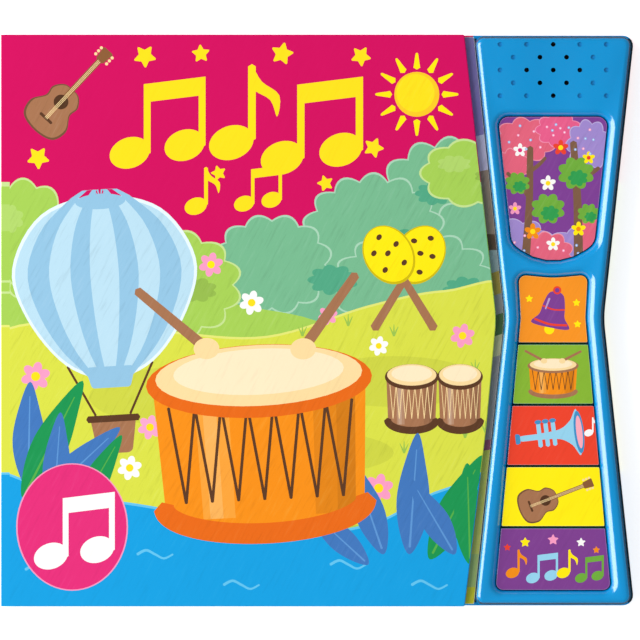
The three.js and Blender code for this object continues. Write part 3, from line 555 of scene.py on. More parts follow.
class Sheet:
    """A printed sheet. Later fields lie over earlier ones, and each group is a piece of its own."""

    def __init__(self, body, window, low, high):
        self.body, self.window, self.low, self.high = body, window, low, high
        self.fields = []
        self.groups = {}

    def group(self, name, slot, *stands_for):
        self.groups[name] = (slot, stands_for)

    def colour_at(self, places):
        """The uppermost field at each place, or -1."""
        places = numpy.array(places)
        top = numpy.full(len(places), -1)
        for k, (outline, _, _, _) in enumerate(self.fields):
            top[within(places, outline)] = k
        return top

    def build(self):
        points, edges = [], []
        for outline in [self.window] + [field[0] for field in self.fields]:
            first = len(points)
            points += [Vector(p) for p in outline]
            edges += [(first + i, first + (i + 1) % len(outline)) for i in range(len(outline))]
        places, _, faces, _, _, _ = delaunay_2d_cdt(points, edges, [], 0, 1e-4, False)
        middles = numpy.array([sum((places[v] for v in face), Vector((0, 0))) / 3 for face in faces])
        top = self.colour_at(middles)
        top[~within(middles, self.window)] = -1
        for name, (slot, stands_for) in self.groups.items():
            chosen = [i for i, k in enumerate(top) if k >= 0 and self.fields[k][3] == name]
            if chosen:
                piece = self.piece(name, places, [(faces[i], top[i]) for i in chosen])
                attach(piece, self.body)
                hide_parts(*stands_for)

    def piece(self, name, places, triangles):
        mesh = bpy.data.meshes.new(name)
        made = bmesh.new()
        materials, upper, lower = [], {}, {}

        def corner(store, index, height):
            if index not in store:
                store[index] = made.verts.new((places[index].x * MM, places[index].y * MM, height))
            return store[index]

        sides = {}
        for face, k in triangles:
            material = ink(*self.fields[k][1:3])
            if material not in materials:
                materials.append(material)
            index = materials.index(material)
            made.faces.new([corner(upper, v, self.high) for v in face]).material_index = index
            made.faces.new([corner(lower, v, self.low) for v in reversed(face)]).material_index = index
            for a, b in zip(face, list(face[1:]) + [face[0]]):
                sides[(a, b)] = index
        for (a, b), index in sides.items():
            if (b, a) not in sides:
                made.faces.new((lower[a], lower[b], upper[b], upper[a])).material_index = index
        made.to_mesh(mesh)
        made.free()
        for material in materials:
            mesh.materials.append(material)
        return linked(name, mesh)


class Pen:
    """Draws fields on a sheet about a centre, turned."""

    def __init__(self, sheet, group, centre=(0, 0), turn=0.0):
        self.sheet, self.group, self.centre, self.turn = sheet, group, centre, turn

    def add(self, outline, colour, hatch=0.03):
        c, s = cos(self.turn), sin(self.turn)
        placed = [(self.centre[0] + x * c - y * s, self.centre[1] + x * s + y * c) for x, y in outline]
        self.sheet.fields.append((placed, colour, hatch, self.group))


# Motifs, drawn about their own centre in millimetres


def draw_note(page, colour, x=0, y=0, size=10):
    """A single quaver."""
    stem, top = x + size * 0.27, y + size
    page.add(oval(x, y, size * 0.3, size * 0.22, 0.35), colour)
    page.add(stroke([(stem, y + size * 0.05), (stem, top)], size * 0.1), colour)
    flag = ((0, 0), (0.13, 0.2), (0.36, 0.38), (0.33, 0.66), (0.24, 0.44), (0, 0.28))
    page.add(smooth([(stem + size * across, top - size * down) for across, down in flag], 4), colour)


def draw_pair(page, colour, x=0, y=0, size=10):
    """Two quavers under one beam."""
    gap = size * 0.72
    for side in (0, 1):
        hx, hy = x + side * gap, y + side * size * 0.1
        stem = hx + size * 0.23
        page.add(oval(hx, hy, size * 0.27, size * 0.2, 0.35), colour)
        page.add(stroke([(stem, hy), (stem, hy + size * 0.82)], size * 0.09), colour)
    left, right = x + size * 0.185, x + size * 0.275 + gap
    beam = ((left, 0.66), (right, 0.76), (right, 1), (left, 0.9))
    page.add([(at, y + size * height) for at, height in beam], colour)


def draw_flower(page, x, y, size, petal, heart, petals=6):
    for i in range(petals):
        a = 2 * pi * i / petals + 0.3
        page.add(oval(*polar(x, y, size * 0.55, a), size * 0.42, size * 0.3, a), petal)
    page.add(oval(x, y, size * 0.3), heart)


def draw_leaf(page, x, y, length, width, turn, colour, vein):
    page.add(leaf(x, y, length, width, turn), colour, 0.06)
    ends = [polar(x, y, share * length, turn) for share in (0.06, 0.86)]
    page.add(stroke(ends, width * 0.07, width * 0.03), vein)


def draw_drum(page, width, height, shell, cord, head, rim):
    """A drum from the front, with a laced shell."""
    w, h = width / 2, height / 2
    lid = h * 0.36
    page.add(block(w * 0.92, -h, w, h * 0.62, w * 0.25, w * 0.08), shell, 0.08)
    for start, end, tone in ((-0.62, -0.3, 1.16), (-0.55, -0.42, 1.3), (0.5, 0.9, 0.92), (0.72, 0.9, 0.86)):
        upper = [(start * w, h * 0.6), (end * w, h * 0.6)]
        lower = [(end * w * 0.94, -h * 0.84), (start * w * 0.94, -h * 0.84)]
        page.add(upper + lower, shaded(shell, tone), 0.08)
    teeth = 7
    for i in range(teeth):
        a = -w * 0.86 + 2 * w * 0.86 * i / teeth
        b = a + 2 * w * 0.86 / teeth
        foot = ((a + b) / 2, -h * 0.66)
        page.add(stroke([(a, h * 0.36), foot], width * 0.014), cord)
        page.add(stroke([foot, (b, h * 0.36)], width * 0.014), cord)
    turns = [pi * (1 + k / 16) for k in range(17)]
    foot_rim = [(w * 0.95 * cos(a), h * (0.32 * sin(a) - 0.7)) for a in turns]
    page.add(stroke(foot_rim, height * 0.11), rim, 0.06)
    page.add(oval(0, h * 0.6, w * 1.06, lid * 1.08), rim, 0.06)
    page.add(oval(0, h * 0.66, w * 0.97, lid * 0.9), head, 0.04)
    page.add(oval(0, h * 0.7, w * 0.8, lid * 0.68), shaded(head, 1.35), 0.04)


def draw_stick(page, start, end, width, wood, tip):
    page.add(stroke([start, end], width, width * 0.8), wood, 0.06)
    page.add(oval(*start, width * 1.15, width * 0.95), tip)


def draw_guitar(page, s):
    """A small guitar that points up. It runs from half of s below its centre to almost s above."""
    half = [(0, -0.5), (0.24, -0.44), (0.3, -0.24), (0.2, -0.06), (0.21, 0.08), (0.12, 0.2), (0, 0.22)]
    outline = smooth(grown(mirrored(half), s), 6)
    page.add([(x * 1.09, y * 1.05) for x, y in outline], shaded(BROWN, 0.7))
    page.add(outline, BROWN, 0.08)
    page.add(stroke([(0, 0.1 * s), (0, 0.78 * s)], 0.075 * s), NECK_BROWN, 0.05)
    page.add(block(0.06 * s, 0.76 * s, 0.085 * s, 0.95 * s, 0.02 * s, 0.02 * s), NECK_BROWN)
    page.add(oval(0, 0, 0.1 * s), shaded(DARK_BROWN, 0.9))
    page.add(stroke([(-0.1 * s, -0.3 * s), (0.1 * s, -0.3 * s)], 0.04 * s), DARK_BROWN)
    for k in (-1, 0, 1):
        page.add(stroke([(k * 0.018 * s, -0.3 * s), (k * 0.018 * s, 0.76 * s)], 0.008 * s), CREAM)
    for k in range(3):
        for side in (-1, 1):
            page.add(oval(side * 0.1 * s, (0.8 + 0.055 * k) * s, 0.022 * s, steps=12), CREAM)


def draw_maraca(page, size, turn):
    c, s = cos(turn), sin(turn)

    def at(u, v):
        return (u * c - v * s, u * s + v * c)

    page.add(stroke([at(0, -0.62 * size), at(0, 0.1 * size)], 0.1 * size, 0.08 * size), BROWN, 0.06)
    page.add(oval(*at(0, 0.32 * size), 0.27 * size, 0.34 * size, turn), shaded(SUN_YELLOW, 0.8))
    page.add(oval(*at(0, 0.33 * size), 0.25 * size, 0.32 * size, turn), SUN_YELLOW, 0.06)
    for u, v in ((-0.12, 0.2), (0.1, 0.16), (0, 0.34), (-0.13, 0.42), (0.13, 0.38), (0.01, 0.54)):
        page.add(oval(*at(u * size, v * size), 0.035 * size, 0.028 * size, turn + 0.4, 14), DARK_BROWN)


def draw_horn(page, s, metal_colour, dark, mouth):
    """A bugle that points to the right."""
    upper = [(-0.5, 0.04), (-0.2, 0.05), (0.15, 0.08), (0.34, 0.2), (0.47, 0.36)]
    page.add(smooth(grown(upper + [(x, -y) for x, y in reversed(upper)], s), 6), metal_colour, 0.05)
    page.add(oval(0.47 * s, 0, 0.08 * s, 0.35 * s), dark)
    page.add(oval(0.475 * s, 0, 0.05 * s, 0.27 * s), mouth)
    mouthpiece = [(-0.58, -0.1, 0.03), (-0.5, -0.07, 0.03), (-0.5, 0.07, 0.03), (-0.58, 0.1, 0.03)]
    page.add(rounded(grown(mouthpiece, s)), dark)
    for k in range(3):
        x = (-0.18 + 0.12 * k) * s
        page.add(stroke([(x, -0.16 * s), (x, 0.2 * s)], 0.07 * s), metal_colour)
        page.add(oval(x, 0.24 * s, 0.055 * s, 0.035 * s), dark)


def draw_bell(page, s, shell, dark, clapper):
    page.add(oval(0, -0.42 * s, 0.11 * s), clapper)
    half = [(0, 0.42), (0.16, 0.36), (0.24, 0.12), (0.28, -0.12), (0.42, -0.34), (0, -0.38)]
    page.add(smooth(grown(mirrored(half), s), 6), shell, 0.06)
    page.add(stroke([(-0.36 * s, -0.26 * s), (0, -0.31 * s), (0.36 * s, -0.26 * s)], 0.05 * s), dark)
    page.add(stroke([(-0.24 * s, 0.06 * s), (0, 0.02 * s), (0.24 * s, 0.06 * s)], 0.035 * s), dark)
    page.add(oval(0, 0.45 * s, 0.09 * s), dark)
    page.add(oval(0, 0.45 * s, 0.05 * s), shell)
    page.add(stroke([(-0.13 * s, 0.24 * s), (-0.17 * s, 0)], 0.045 * s, 0.03 * s), shaded(shell, 1.5))


def draw_balloon(page, s):
    """A striped balloon with a basket."""
    basket_y = -0.62 * s
    for k in (-1, 1):
        rope = [(k * 0.22 * s, -0.28 * s), (k * 0.09 * s, basket_y + 0.08 * s)]
        page.add(stroke(rope, 0.012 * s), DARK_BROWN)
    basket = block(0.09 * s, basket_y - 0.12 * s, 0.12 * s, basket_y + 0.07 * s, 0.03 * s, 0.01 * s)
    page.add(basket, BROWN, 0.1)
    brim = basket_y + 0.06 * s
    page.add(stroke([(-0.13 * s, brim), (0.13 * s, brim)], 0.035 * s), DARK_BROWN)
    half = [(0, 0.58), (0.3, 0.5), (0.46, 0.24), (0.4, -0.02), (0.22, -0.26), (0, -0.34)]
    outline = smooth(grown(mirrored(half), s), 6)
    page.add([(x * 1.035, (y - 0.1 * s) * 1.035 + 0.1 * s) for x, y in outline], shaded(PALE_BLUE, 1.6))
    page.add(outline, PALE_BLUE, 0.07)
    for shares in ((0.86, 0.62), (0.38, 0.16)):
        for side in (-1, 1):
            outer, inner = ([(side * x * share * s, y * 0.995 * s) for x, y in half] for share in shares)
            stripe = smooth(outer, 5)[:-5] + smooth(inner[::-1], 5)[:-5]
            page.add(stripe, PALE_BLUE_SHADE, 0.07)
    page.add(oval(0, 0.565 * s, 0.13 * s, 0.04 * s), PALE_BLUE_SHADE)
    page.add(block(0.1 * s, -0.4 * s, 0.13 * s, -0.29 * s, 0.02 * s, 0.02 * s), PALE_BLUE_SHADE)


def draw_sun(page, size):
    for i in range(12):
        ray = [polar(0, 0, share * size, 2 * pi * i / 12) for share in (0.62, 0.95)]
        page.add(stroke(ray, 0.16 * size, 0.05 * size), SUN_YELLOW)
    page.add(oval(0, 0, 0.52 * size), "#ffc81e", 0.06)
    page.add(oval(-0.03 * size, 0.03 * size, 0.44 * size), YELLOW, 0.08)


# The front cover's picture


COVER_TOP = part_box("front_cover")[1].z
PRINT_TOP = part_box("print_meadow")[1].z


def bush(pen, x, y, rx, ry, bumps, colour, rim=0.8):
    """A round bush with a paler rim."""
    pen.add(scallops(x, y, rx + rim, ry + rim, bumps, 0.07), shaded(colour, 1.35), 0.02)
    pen.add(scallops(x, y, rx, ry, bumps, 0.07), colour, 0.08)


def draw_hills(sheet):
    """Far bushes, a hill with bushes, the meadow and the water."""
    far = Pen(sheet, "art_far_hill")
    far.add(smooth([(-63, 0), (-12, 16), (19, 38), (50, 49), (93, 54), (131, -45), (-24, -45)]), TEAL, 0.08)
    for x, y, rx, ry, bumps in (
        (52, 44, 28, 26, 14), (66, 26, 22, 24, 12), (22, 34, 26, 22, 14), (-18, 22, 22, 18, 12),
        (38, 14, 30, 20, 15),
    ):
        bush(far, x, y, rx, ry, bumps, TEAL)
    for x, y, size in ((6, 16, 9), (30, 30, 10), (58, 12, 8), (46, 50, 7)):
        far.add(scallops(x, y, size, size * 0.6, 9, 0.12), DEEP_TEAL, 0.08)
    hill = Pen(sheet, "art_hill")
    ridge = [(-180, 0), (-110, 22), (-75, 31), (-40, 9), (-1, 0), (34, -18), (93, -31)]
    ridge += [(131, -90), (-180, -90)]
    hill.add(smooth(ridge), GREEN, 0.09)
    for x, y, rx, ry, bumps in (
        (60, 58, 18, 12, 9), (-58, 14, 26, 20, 12), (-92, 22, 30, 22, 13), (-116, 34, 18, 20, 10),
    ):
        bush(hill, x, y, rx, ry, bumps, GREEN)
        light = scallops(x - rx * 0.35, y + ry * 0.3, rx * 0.34, ry * 0.26, 8, 0.12)
        shade = scallops(x + rx * 0.4, y - ry * 0.1, rx * 0.28, ry * 0.22, 8, 0.12)
        hill.add(light, shaded(GREEN, 1.12), 0.08)
        hill.add(shade, shaded(GREEN, 0.9), 0.08)
    meadow = Pen(sheet, "art_meadow")
    edge = [(-130, -10), (-100, 0), (-60, -4), (-20, -6), (20, 6), (50, 12), (80, 10)]
    edge += [(84, -60), (0, -80), (-130, -60)]
    meadow.add(smooth(edge), shaded(LIME, 1.25), 0.02)
    meadow.add(smooth([(x, y - 0.9) for x, y in edge]), LIME, 0.09)
    for x, y, rx, ry in ((-50, -30, 40, 12), (30, -24, 34, 10), (-10, -52, 40, 9)):
        meadow.add(oval(x, y, rx, ry), shaded(LIME, 0.95), 0.09)
    for x, y in (
        (-112, -44), (-50, -8), (-6, -6), (30, -6), (62, -20), (34, -52), (58, -46), (-58, -52), (12, -2),
        (66, -44),
    ):
        for lean in (-0.5, 0, 0.5):
            blade = [(x, y), (x + 3.4 * lean, y + 4.6 - abs(lean) * 2)]
            meadow.add(stroke(blade, 0.9, 0.2), shaded(GREEN, 0.94), 0.06)
    water = Pen(sheet, "art_foreground")
    shore = [(-135, -62), (-100, -68), (-60, -74), (-20, -84), (20, -80), (50, -66), (90, -60)]
    shore += [(90, -125), (-135, -125)]
    water.add(smooth(shore), shaded(SKY_BLUE, 1.35), 0.02)
    water.add(smooth([(x, y - 1) for x, y in shore]), SKY_BLUE, 0.04)
    for x, y in ((-108, -98), (-64, -92), (-30, -104), (12, -96), (44, -104)):
        wave = [(x - 7, y), (x - 3.5, y + 1.6), (x, y), (x + 3.5, y - 1.6), (x + 7, y)]
        water.add(stroke(wave, 1.1, 0.7), shaded(SKY_BLUE, 1.35), 0.03)


def draw_sky(sheet):
    sky = Pen(sheet, "art_sky")
    sky.add([(-140, -130), (90, -130), (90, 130), (-140, 130)], MAGENTA, 0.012)
    for draw, x, y, size in (
        (draw_pair, -74, 66, 30), (draw_note, -34, 70, 30), (draw_pair, -14, 64, 32),
        (draw_note, -48, 45, 15), (draw_pair, -29, 46, 15),
    ):
        draw(sky, YELLOW, x, y, size)
    for x, y, r in (
        (-68, 104, 5), (-46, 105, 4), (-14, 105, 5), (17, 104, 4.5), (-110, 64, 5), (-39, 58, 3.4),
        (3, 54, 3.6), (22, 68, 4.5),
    ):
        sky.add(star(x, y, r, turn=0.2 + x * 0.03), YELLOW)
    draw_sun(Pen(sheet, "art_sky", (39, 89)), 17)
    draw_guitar(Pen(sheet, "art_sky", (-101, 86), -0.75), 29)


def draw_motifs(sheet):
    draw_balloon(Pen(sheet, "art_motifs", (-83, 4), 0.06), 76)
    maracas = Pen(sheet, "art_motifs", (34, 16))
    draw_maraca(maracas, 36, -0.55)
    draw_maraca(maracas, 36, 0.55)
    for x, width in ((-9, 20), (10, 17)):
        draw_drum(Pen(sheet, "art_motifs", (46 + x, -30)), width, 26, BROWN, CREAM, CREAM, DARK_BROWN)
    plants = Pen(sheet, "art_motifs")
    for x, y, size, petal, heart in (
        (-111, -22, 6, LIGHT_PINK, YELLOW), (-66, -42, 5, "#f7a3c9", YELLOW),
        (24, -66, 6, LIGHT_PINK, YELLOW), (-26, 7, 5, WHITE, YELLOW),
        (-42, 22, 5, LIGHT_PINK, SUN_YELLOW), (24, -10, 4, WHITE, YELLOW),
        (57, -6, 5, LIGHT_PINK, YELLOW), (-74, -58, 5, WHITE, YELLOW), (4, 2, 4, LIGHT_PINK, YELLOW),
    ):
        draw_flower(plants, x, y, size, petal, heart)
    blades = (
        (-114, -66, 42, 13, 1.55), (-116, -70, 52, 14, 1.1), (-110, -72, 44, 12, 0.75),
        (-104, -76, 40, 11, 1.5), (-96, -78, 38, 10, 1.05), (26, -92, 40, 12, 1.9), (36, -92, 48, 13, 1.5),
        (44, -94, 46, 13, 1.1), (54, -92, 34, 11, 2.1), (20, -96, 34, 10, 2.4), (60, -96, 40, 12, 1.6),
    )
    for k, (x, y, length, width, turn) in enumerate(blades):
        colours = (LEAF_GREEN, LEAF_GREEN_LIGHT) if k % 3 == 1 else (LEAF_BLUE, LEAF_BLUE_LIGHT)
        draw_leaf(plants, x, y, length, width, turn, *colours)


def draw_big_drum(sheet):
    drum = Pen(sheet, "art_drum", (-22, -46), 0.05)
    draw_drum(drum, 84, 74, ORANGE, DARK_BROWN, CREAM, DEEP_ORANGE)
    draw_stick(drum, (-20, 36), (-46, 60), 4.4, BROWN, CREAM)
    draw_stick(drum, (18, 34), (40, 62), 4.4, BROWN, CREAM)


def draw_disc(sheet):
    """The pink oval with plain white notes."""
    low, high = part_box("print_disc")
    radius = (high.x - low.x) / 2 / MM + 1.2
    disc = Pen(sheet, "art_disc", ((low.x + high.x) / 2 / MM + 2.5, (low.y + high.y) / 2 / MM - 2.5))
    disc.add(oval(0, 0, radius, radius * 1.14, steps=64), shaded(PINK, 1.5), 0.01)
    disc.add(oval(0, 0, radius * 0.975, radius * 1.12, steps=64), PINK, 0.05)
    draw_pair(disc, WHITE, -radius * 0.38, -radius * 0.52, radius * 1.15)


def cover_picture():
    sheet = Sheet("cover", inset(outline_of("front_cover"), COVER_RIM), COVER_TOP, PRINT_TOP)
    for name, print_slot, *nodes in (
        ("art_sky", "cover_print"),
        ("art_motifs", "cover_print"),
        ("art_far_hill", "print_teal", "print_far_hill"),
        ("art_hill", "print_green", "print_hill"),
        ("art_meadow", "print_yellow_green", "print_meadow"),
        ("art_foreground", "print_blue", "print_foreground"),
        ("art_drum", "print_orange", "print_drum"),
        ("art_disc", "print_pink", "print_disc"),
    ):
        sheet.group(name, print_slot, *nodes)
    draw_sky(sheet)
    draw_hills(sheet)
    draw_motifs(sheet)
    draw_big_drum(sheet)
    draw_disc(sheet)
    return sheet


def edge_bands(sheet, x, step=0.1, least=0.6):
    """The picture's colours from foot to head along one line, as (height in mm, colour)."""
    low, high = CAD_LOW.y / MM, CAD_HIGH.y / MM
    heights = [low + step * (i + 0.5) for i in range(round((high - low) / step))]
    bands = []
    for y, k in zip(heights, sheet.colour_at([(x, y) for y in heights])):
        colour = sheet.fields[k][1]
        if not bands or (colour != bands[-1][1] and y - bands[-1][0] >= least):
            bands.append((y if bands else low, colour))
    return bands


# The six labels


def label_sheet(number, slot, colour):
    """A label as a printed sheet with a paler rim, painted as a highlight along its edge, and its middle."""
    node = f"label_{number}"
    low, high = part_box(node)
    outline = inset(outline_of(node), -LABEL_OVER)
    sheet = Sheet(f"sound_key_{number}", outline, low.z, high.z)
    name = f"label_print_{number}"
    sheet.group(name, slot, node)
    pen = Pen(sheet, name)
    # painted highlight: a paler rim along the label's edge, where it catches the light
    pen.add(inset(outline, -1), shaded(colour, 1.2), 0.01)
    pen.add(inset(outline, 0.22), colour, 0.04)
    return sheet, name, ((low.x + high.x) / 2 / MM, (low.y + high.y) / 2 / MM)


def garden_label():
    """The large key: flowers and leaves on a dusk sky."""
    sheet, name, centre = label_sheet(1, "label_violet", VIOLET)
    pen = Pen(sheet, name, centre)
    rose = "#e0617a"
    for x, y, rx, ry, colour in (
        (-14, -22, 13, 9, LILAC), (12, -24, 14, 8, LILAC), (-2, -26, 9, 8, rose), (16, -18, 6, 8, rose),
        (-11, 19, 11, 8, rose), (2, 23, 8, 6, ROSE), (14, 17, 8, 9, LILAC), (-16, 9, 6, 6, rose),
    ):
        pen.add(scallops(x, y, rx + 0.4, ry + 0.4, 9, 0.1), shaded(colour, 1.3))
        pen.add(scallops(x, y, rx, ry, 9, 0.1), colour, 0.08)
    for x0, y0, x1, y1, w in (
        (-11, -30, -9, 16, 3.4), (10, -30, 8, 18, 3.8), (-9, -4, -18, 6, 2), (8, 2, 18, 8, 2.2),
        (-10, 6, -3, 12, 1.8),
    ):
        trunk = [(x0, y0), ((x0 + x1) / 2 + 0.6, (y0 + y1) / 2), (x1, y1)]
        pen.add(stroke(trunk, w, w * 0.7), "#7c5a44", 0.08)
    for x, y, size in ((-2, -8, 6), (9, 6, 6.4), (-14, 2, 4.4), (14, -10, 4)):
        pen.add(scallops(x, y, size, size * 0.9, 8, 0.14), FRESH_GREEN, 0.08)
        pen.add(scallops(x + 0.8, y - size * 0.3, size * 0.55, size * 0.45, 7, 0.14), "#2f9c4e", 0.06)
    for x, y, size, petal, heart in (
        (-2, 2, 3.2, WHITE, YELLOW), (10, -16, 3, SUN_YELLOW, ORANGE), (-8, -17, 3.4, ORANGE, YELLOW),
        (3, 16, 3.2, RED, YELLOW), (-13, 15, 2.8, WHITE, PINK), (14, 12, 2.6, SUN_YELLOW, RED),
        (-15, -8, 2.6, LIGHT_PINK, YELLOW), (0, -22, 2.8, WHITE, YELLOW),
    ):
        draw_flower(pen, x, y, size, petal, heart, 5)
    blossoms = ((-11, 19, 8, 6), (2, 23, 5, 3), (13, 18, 5, 6), (-13, -22, 9, 6), (12, -25, 9, 5))
    for k, (x, y, rx, ry) in enumerate(blossoms):
        for i in range(7):
            a = 0.9 * k + 2.4 * i
            share = math.sqrt((i + 0.5) / 7)
            spot = (x + rx * share * cos(a), y + ry * share * sin(a))
            pen.add(oval(*spot, 0.55, steps=14), LIGHT_PINK if (i + k) % 2 else "#8fb3e6")
            pen.add(oval(*spot, 0.22, steps=10), WHITE)
    sheet.build()


def small_labels():
    sheet, name, (x, y) = label_sheet(2, "label_orange", "#f6921e")
    draw_bell(Pen(sheet, name, (x, y - 0.6), -0.2), 18, VIOLET, RED, SUN_YELLOW)
    stars = Pen(sheet, name, (x, y))
    for sx, sy in ((-9.4, 4), (9.2, 2.4), (9.6, -6)):
        stars.add(star(sx, sy, 1.7), SUN_YELLOW)
    sheet.build()
    sheet, name, (x, y) = label_sheet(3, "label_green", "#86b432")
    drum = Pen(sheet, name, (x, y - 1.2))
    draw_drum(drum, 19, 15, ORANGE, DARK_BROWN, CREAM, BROWN)
    draw_stick(drum, (-3.6, 6.4), (-11, 10.4), 1.1, BROWN, CREAM)
    draw_stick(drum, (3.6, 6.4), (11, 10.2), 1.1, BROWN, CREAM)
    sheet.build()
    sheet, name, (x, y) = label_sheet(4, "label_red", "#eb4128")
    draw_horn(Pen(sheet, name, (x - 1, y), 0.12), 24, "#93cfe9", "#3f8fc4", "#f9a9b8")
    draw_note(Pen(sheet, name, (x, y)), WHITE, 14, 1, 6)
    sheet.build()
    sheet, name, (x, y) = label_sheet(5, "label_yellow", "#ffea03")
    draw_guitar(Pen(sheet, name, (x - 3, y - 1.5), -1.2), 21)
    sheet.build()
    sheet, name, (x, y) = label_sheet(6, "label_violet", "#7d3e8d")
    group = Pen(sheet, name, (x, y - 0.4))
    draw_note(group, ORANGE, -16, -5, 9)
    draw_pair(group, "#93cfe9", -8, -7, 10)
    draw_note(group, SUN_YELLOW, 4, -5, 9)
    draw_pair(group, FRESH_GREEN, 11, -7, 9)
    for sx, sy, r, colour in (
        (-11, 7, 2.2, SUN_YELLOW), (0, 8, 2.4, LIGHT_PINK), (11, 7, 2, WHITE), (17, 4, 1.6, ORANGE),
        (-18, 5, 1.6, RED),
    ):
        group.add(star(sx, sy, r), colour)
    sheet.build()


# The case: wrapped edges, hinges, endpaper and spine lining


def shell_copy(node, name, body, material, bevel=0.0, angle=40):
    """A smooth-shaded piece with the CAD node's own form, which it stands for."""
    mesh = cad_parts[node].data.copy()
    mesh.name = name
    joined = bmesh.new()
    joined.from_mesh(mesh)
    bmesh.ops.remove_doubles(joined, verts=joined.verts, dist=2e-6)
    bmesh.ops.dissolve_limit(joined, angle_limit=math.radians(0.3), verts=joined.verts, edges=joined.edges)
    joined.to_mesh(mesh)
    joined.free()
    if "custom_normal" in mesh.attributes:
        mesh.attributes.remove(mesh.attributes["custom_normal"])
    mesh.materials.clear()
    mesh.materials.append(material)
    for face in mesh.polygons:
        face.use_smooth = True
        face.material_index = 0
    mesh.set_sharp_from_angle(angle=math.radians(angle))
    piece = linked(name, mesh)
    if bevel:
        rounding = piece.modifiers.new("rounding", "BEVEL")
        rounding.width = bevel
        rounding.segments = 3
        rounding.limit_method = "ANGLE"
        rounding.angle_limit = math.radians(angle)
        rounding.use_clamp_overlap = True
        rounding.harden_normals = False
    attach(piece, body)
    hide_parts(node)
    return piece


def follow_module(page):
    """Lets the leaves' die-cut edge follow the module's drafted wall, as pages cut to fit do."""
    low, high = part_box("page_block")
    for vertex in page.data.vertices:
        if high.y - abs(vertex.co.y) < MM / 2:
            vertex.co.y += math.copysign(LEAF_OVER, vertex.co.y)
        if vertex.co.x > CUT_SIDE:
            share = (vertex.co.z - low.z) / (high.z - low.z)
            vertex.co.x += CUT_REACH_LOW + (CUT_REACH_HIGH - CUT_REACH_LOW) * share


def strip(name, outline, low_y, high_y, cuts, material, slot):
    """A thin sheet whose section (x, z) outline runs along Y, with cuts along it."""
    mesh = bpy.data.meshes.new(name)
    made = bmesh.new()
    rows = []
    for i in range(cuts + 1):
        y = low_y + (high_y - low_y) * i / cuts
        rows.append([made.verts.new((x, y, z)) for x, z in outline])
    for a, b in zip(rows, rows[1:]):
        for i in range(len(outline)):
            k = (i + 1) % len(outline)
            made.faces.new((a[i], a[k], b[k], b[i]))
    made.faces.new(rows[0][::-1])
    made.faces.new(rows[-1])
    bmesh.ops.recalc_face_normals(made, faces=made.faces)
    made.to_mesh(mesh)
    made.free()
    mesh.materials.append(material)
    piece = linked(name, mesh)
    return piece


def wrap_hinges(material):
    """The paper wrap that crosses the two folds of the spine."""
    spine_low, spine_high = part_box("spine_board")
    left, top = spine_low.x, spine_high.z
    steps = 10
    outer, inner = [], []
    for k in range(steps + 1):
        angle = pi - (pi / 2) * k / steps
        c, s = cos(angle), sin(angle)
        outer.append((left + WRAP + 2 * WRAP * c, top - WRAP + 2 * WRAP * s))
        inner.append((left + WRAP + WRAP * c, top - WRAP + WRAP * s))
    flat = (left + 1 * MM, left + 2 * MM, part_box("front_cover")[0].x + HINGE_REACH)
    down = top - HINGE_DOWN
    outer = [(left - WRAP, down)] + outer + [(x, top + WRAP) for x in flat]
    inner = [(left, down)] + inner + [(x, top) for x in flat]
    section = outer + inner[::-1]
    ends = (spine_low.y, spine_high.y)
    front = strip("wrap_front_hinge", section, *ends, 6, material, "cover_print")
    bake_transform(front)
    section = [(x, top - z) for x, z in section]
    back = strip("wrap_back_hinge", section, *ends, 6, material, "cover_print")
    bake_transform(back)


def leaf_outline():
    """The top leaf's outline, a little inside the block's edges."""
    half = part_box("page_block")[1].y / MM
    over, reach = LEAF_OVER / MM - 0.1, CUT_REACH_HIGH / MM - 0.1
    places = []
    for x, y in outline_of("page_block"):
        if half - abs(y) < 0.5:
            y += math.copysign(over, y)
        places.append((x + reach if x > CUT_SIDE / MM else x, y))
    return places


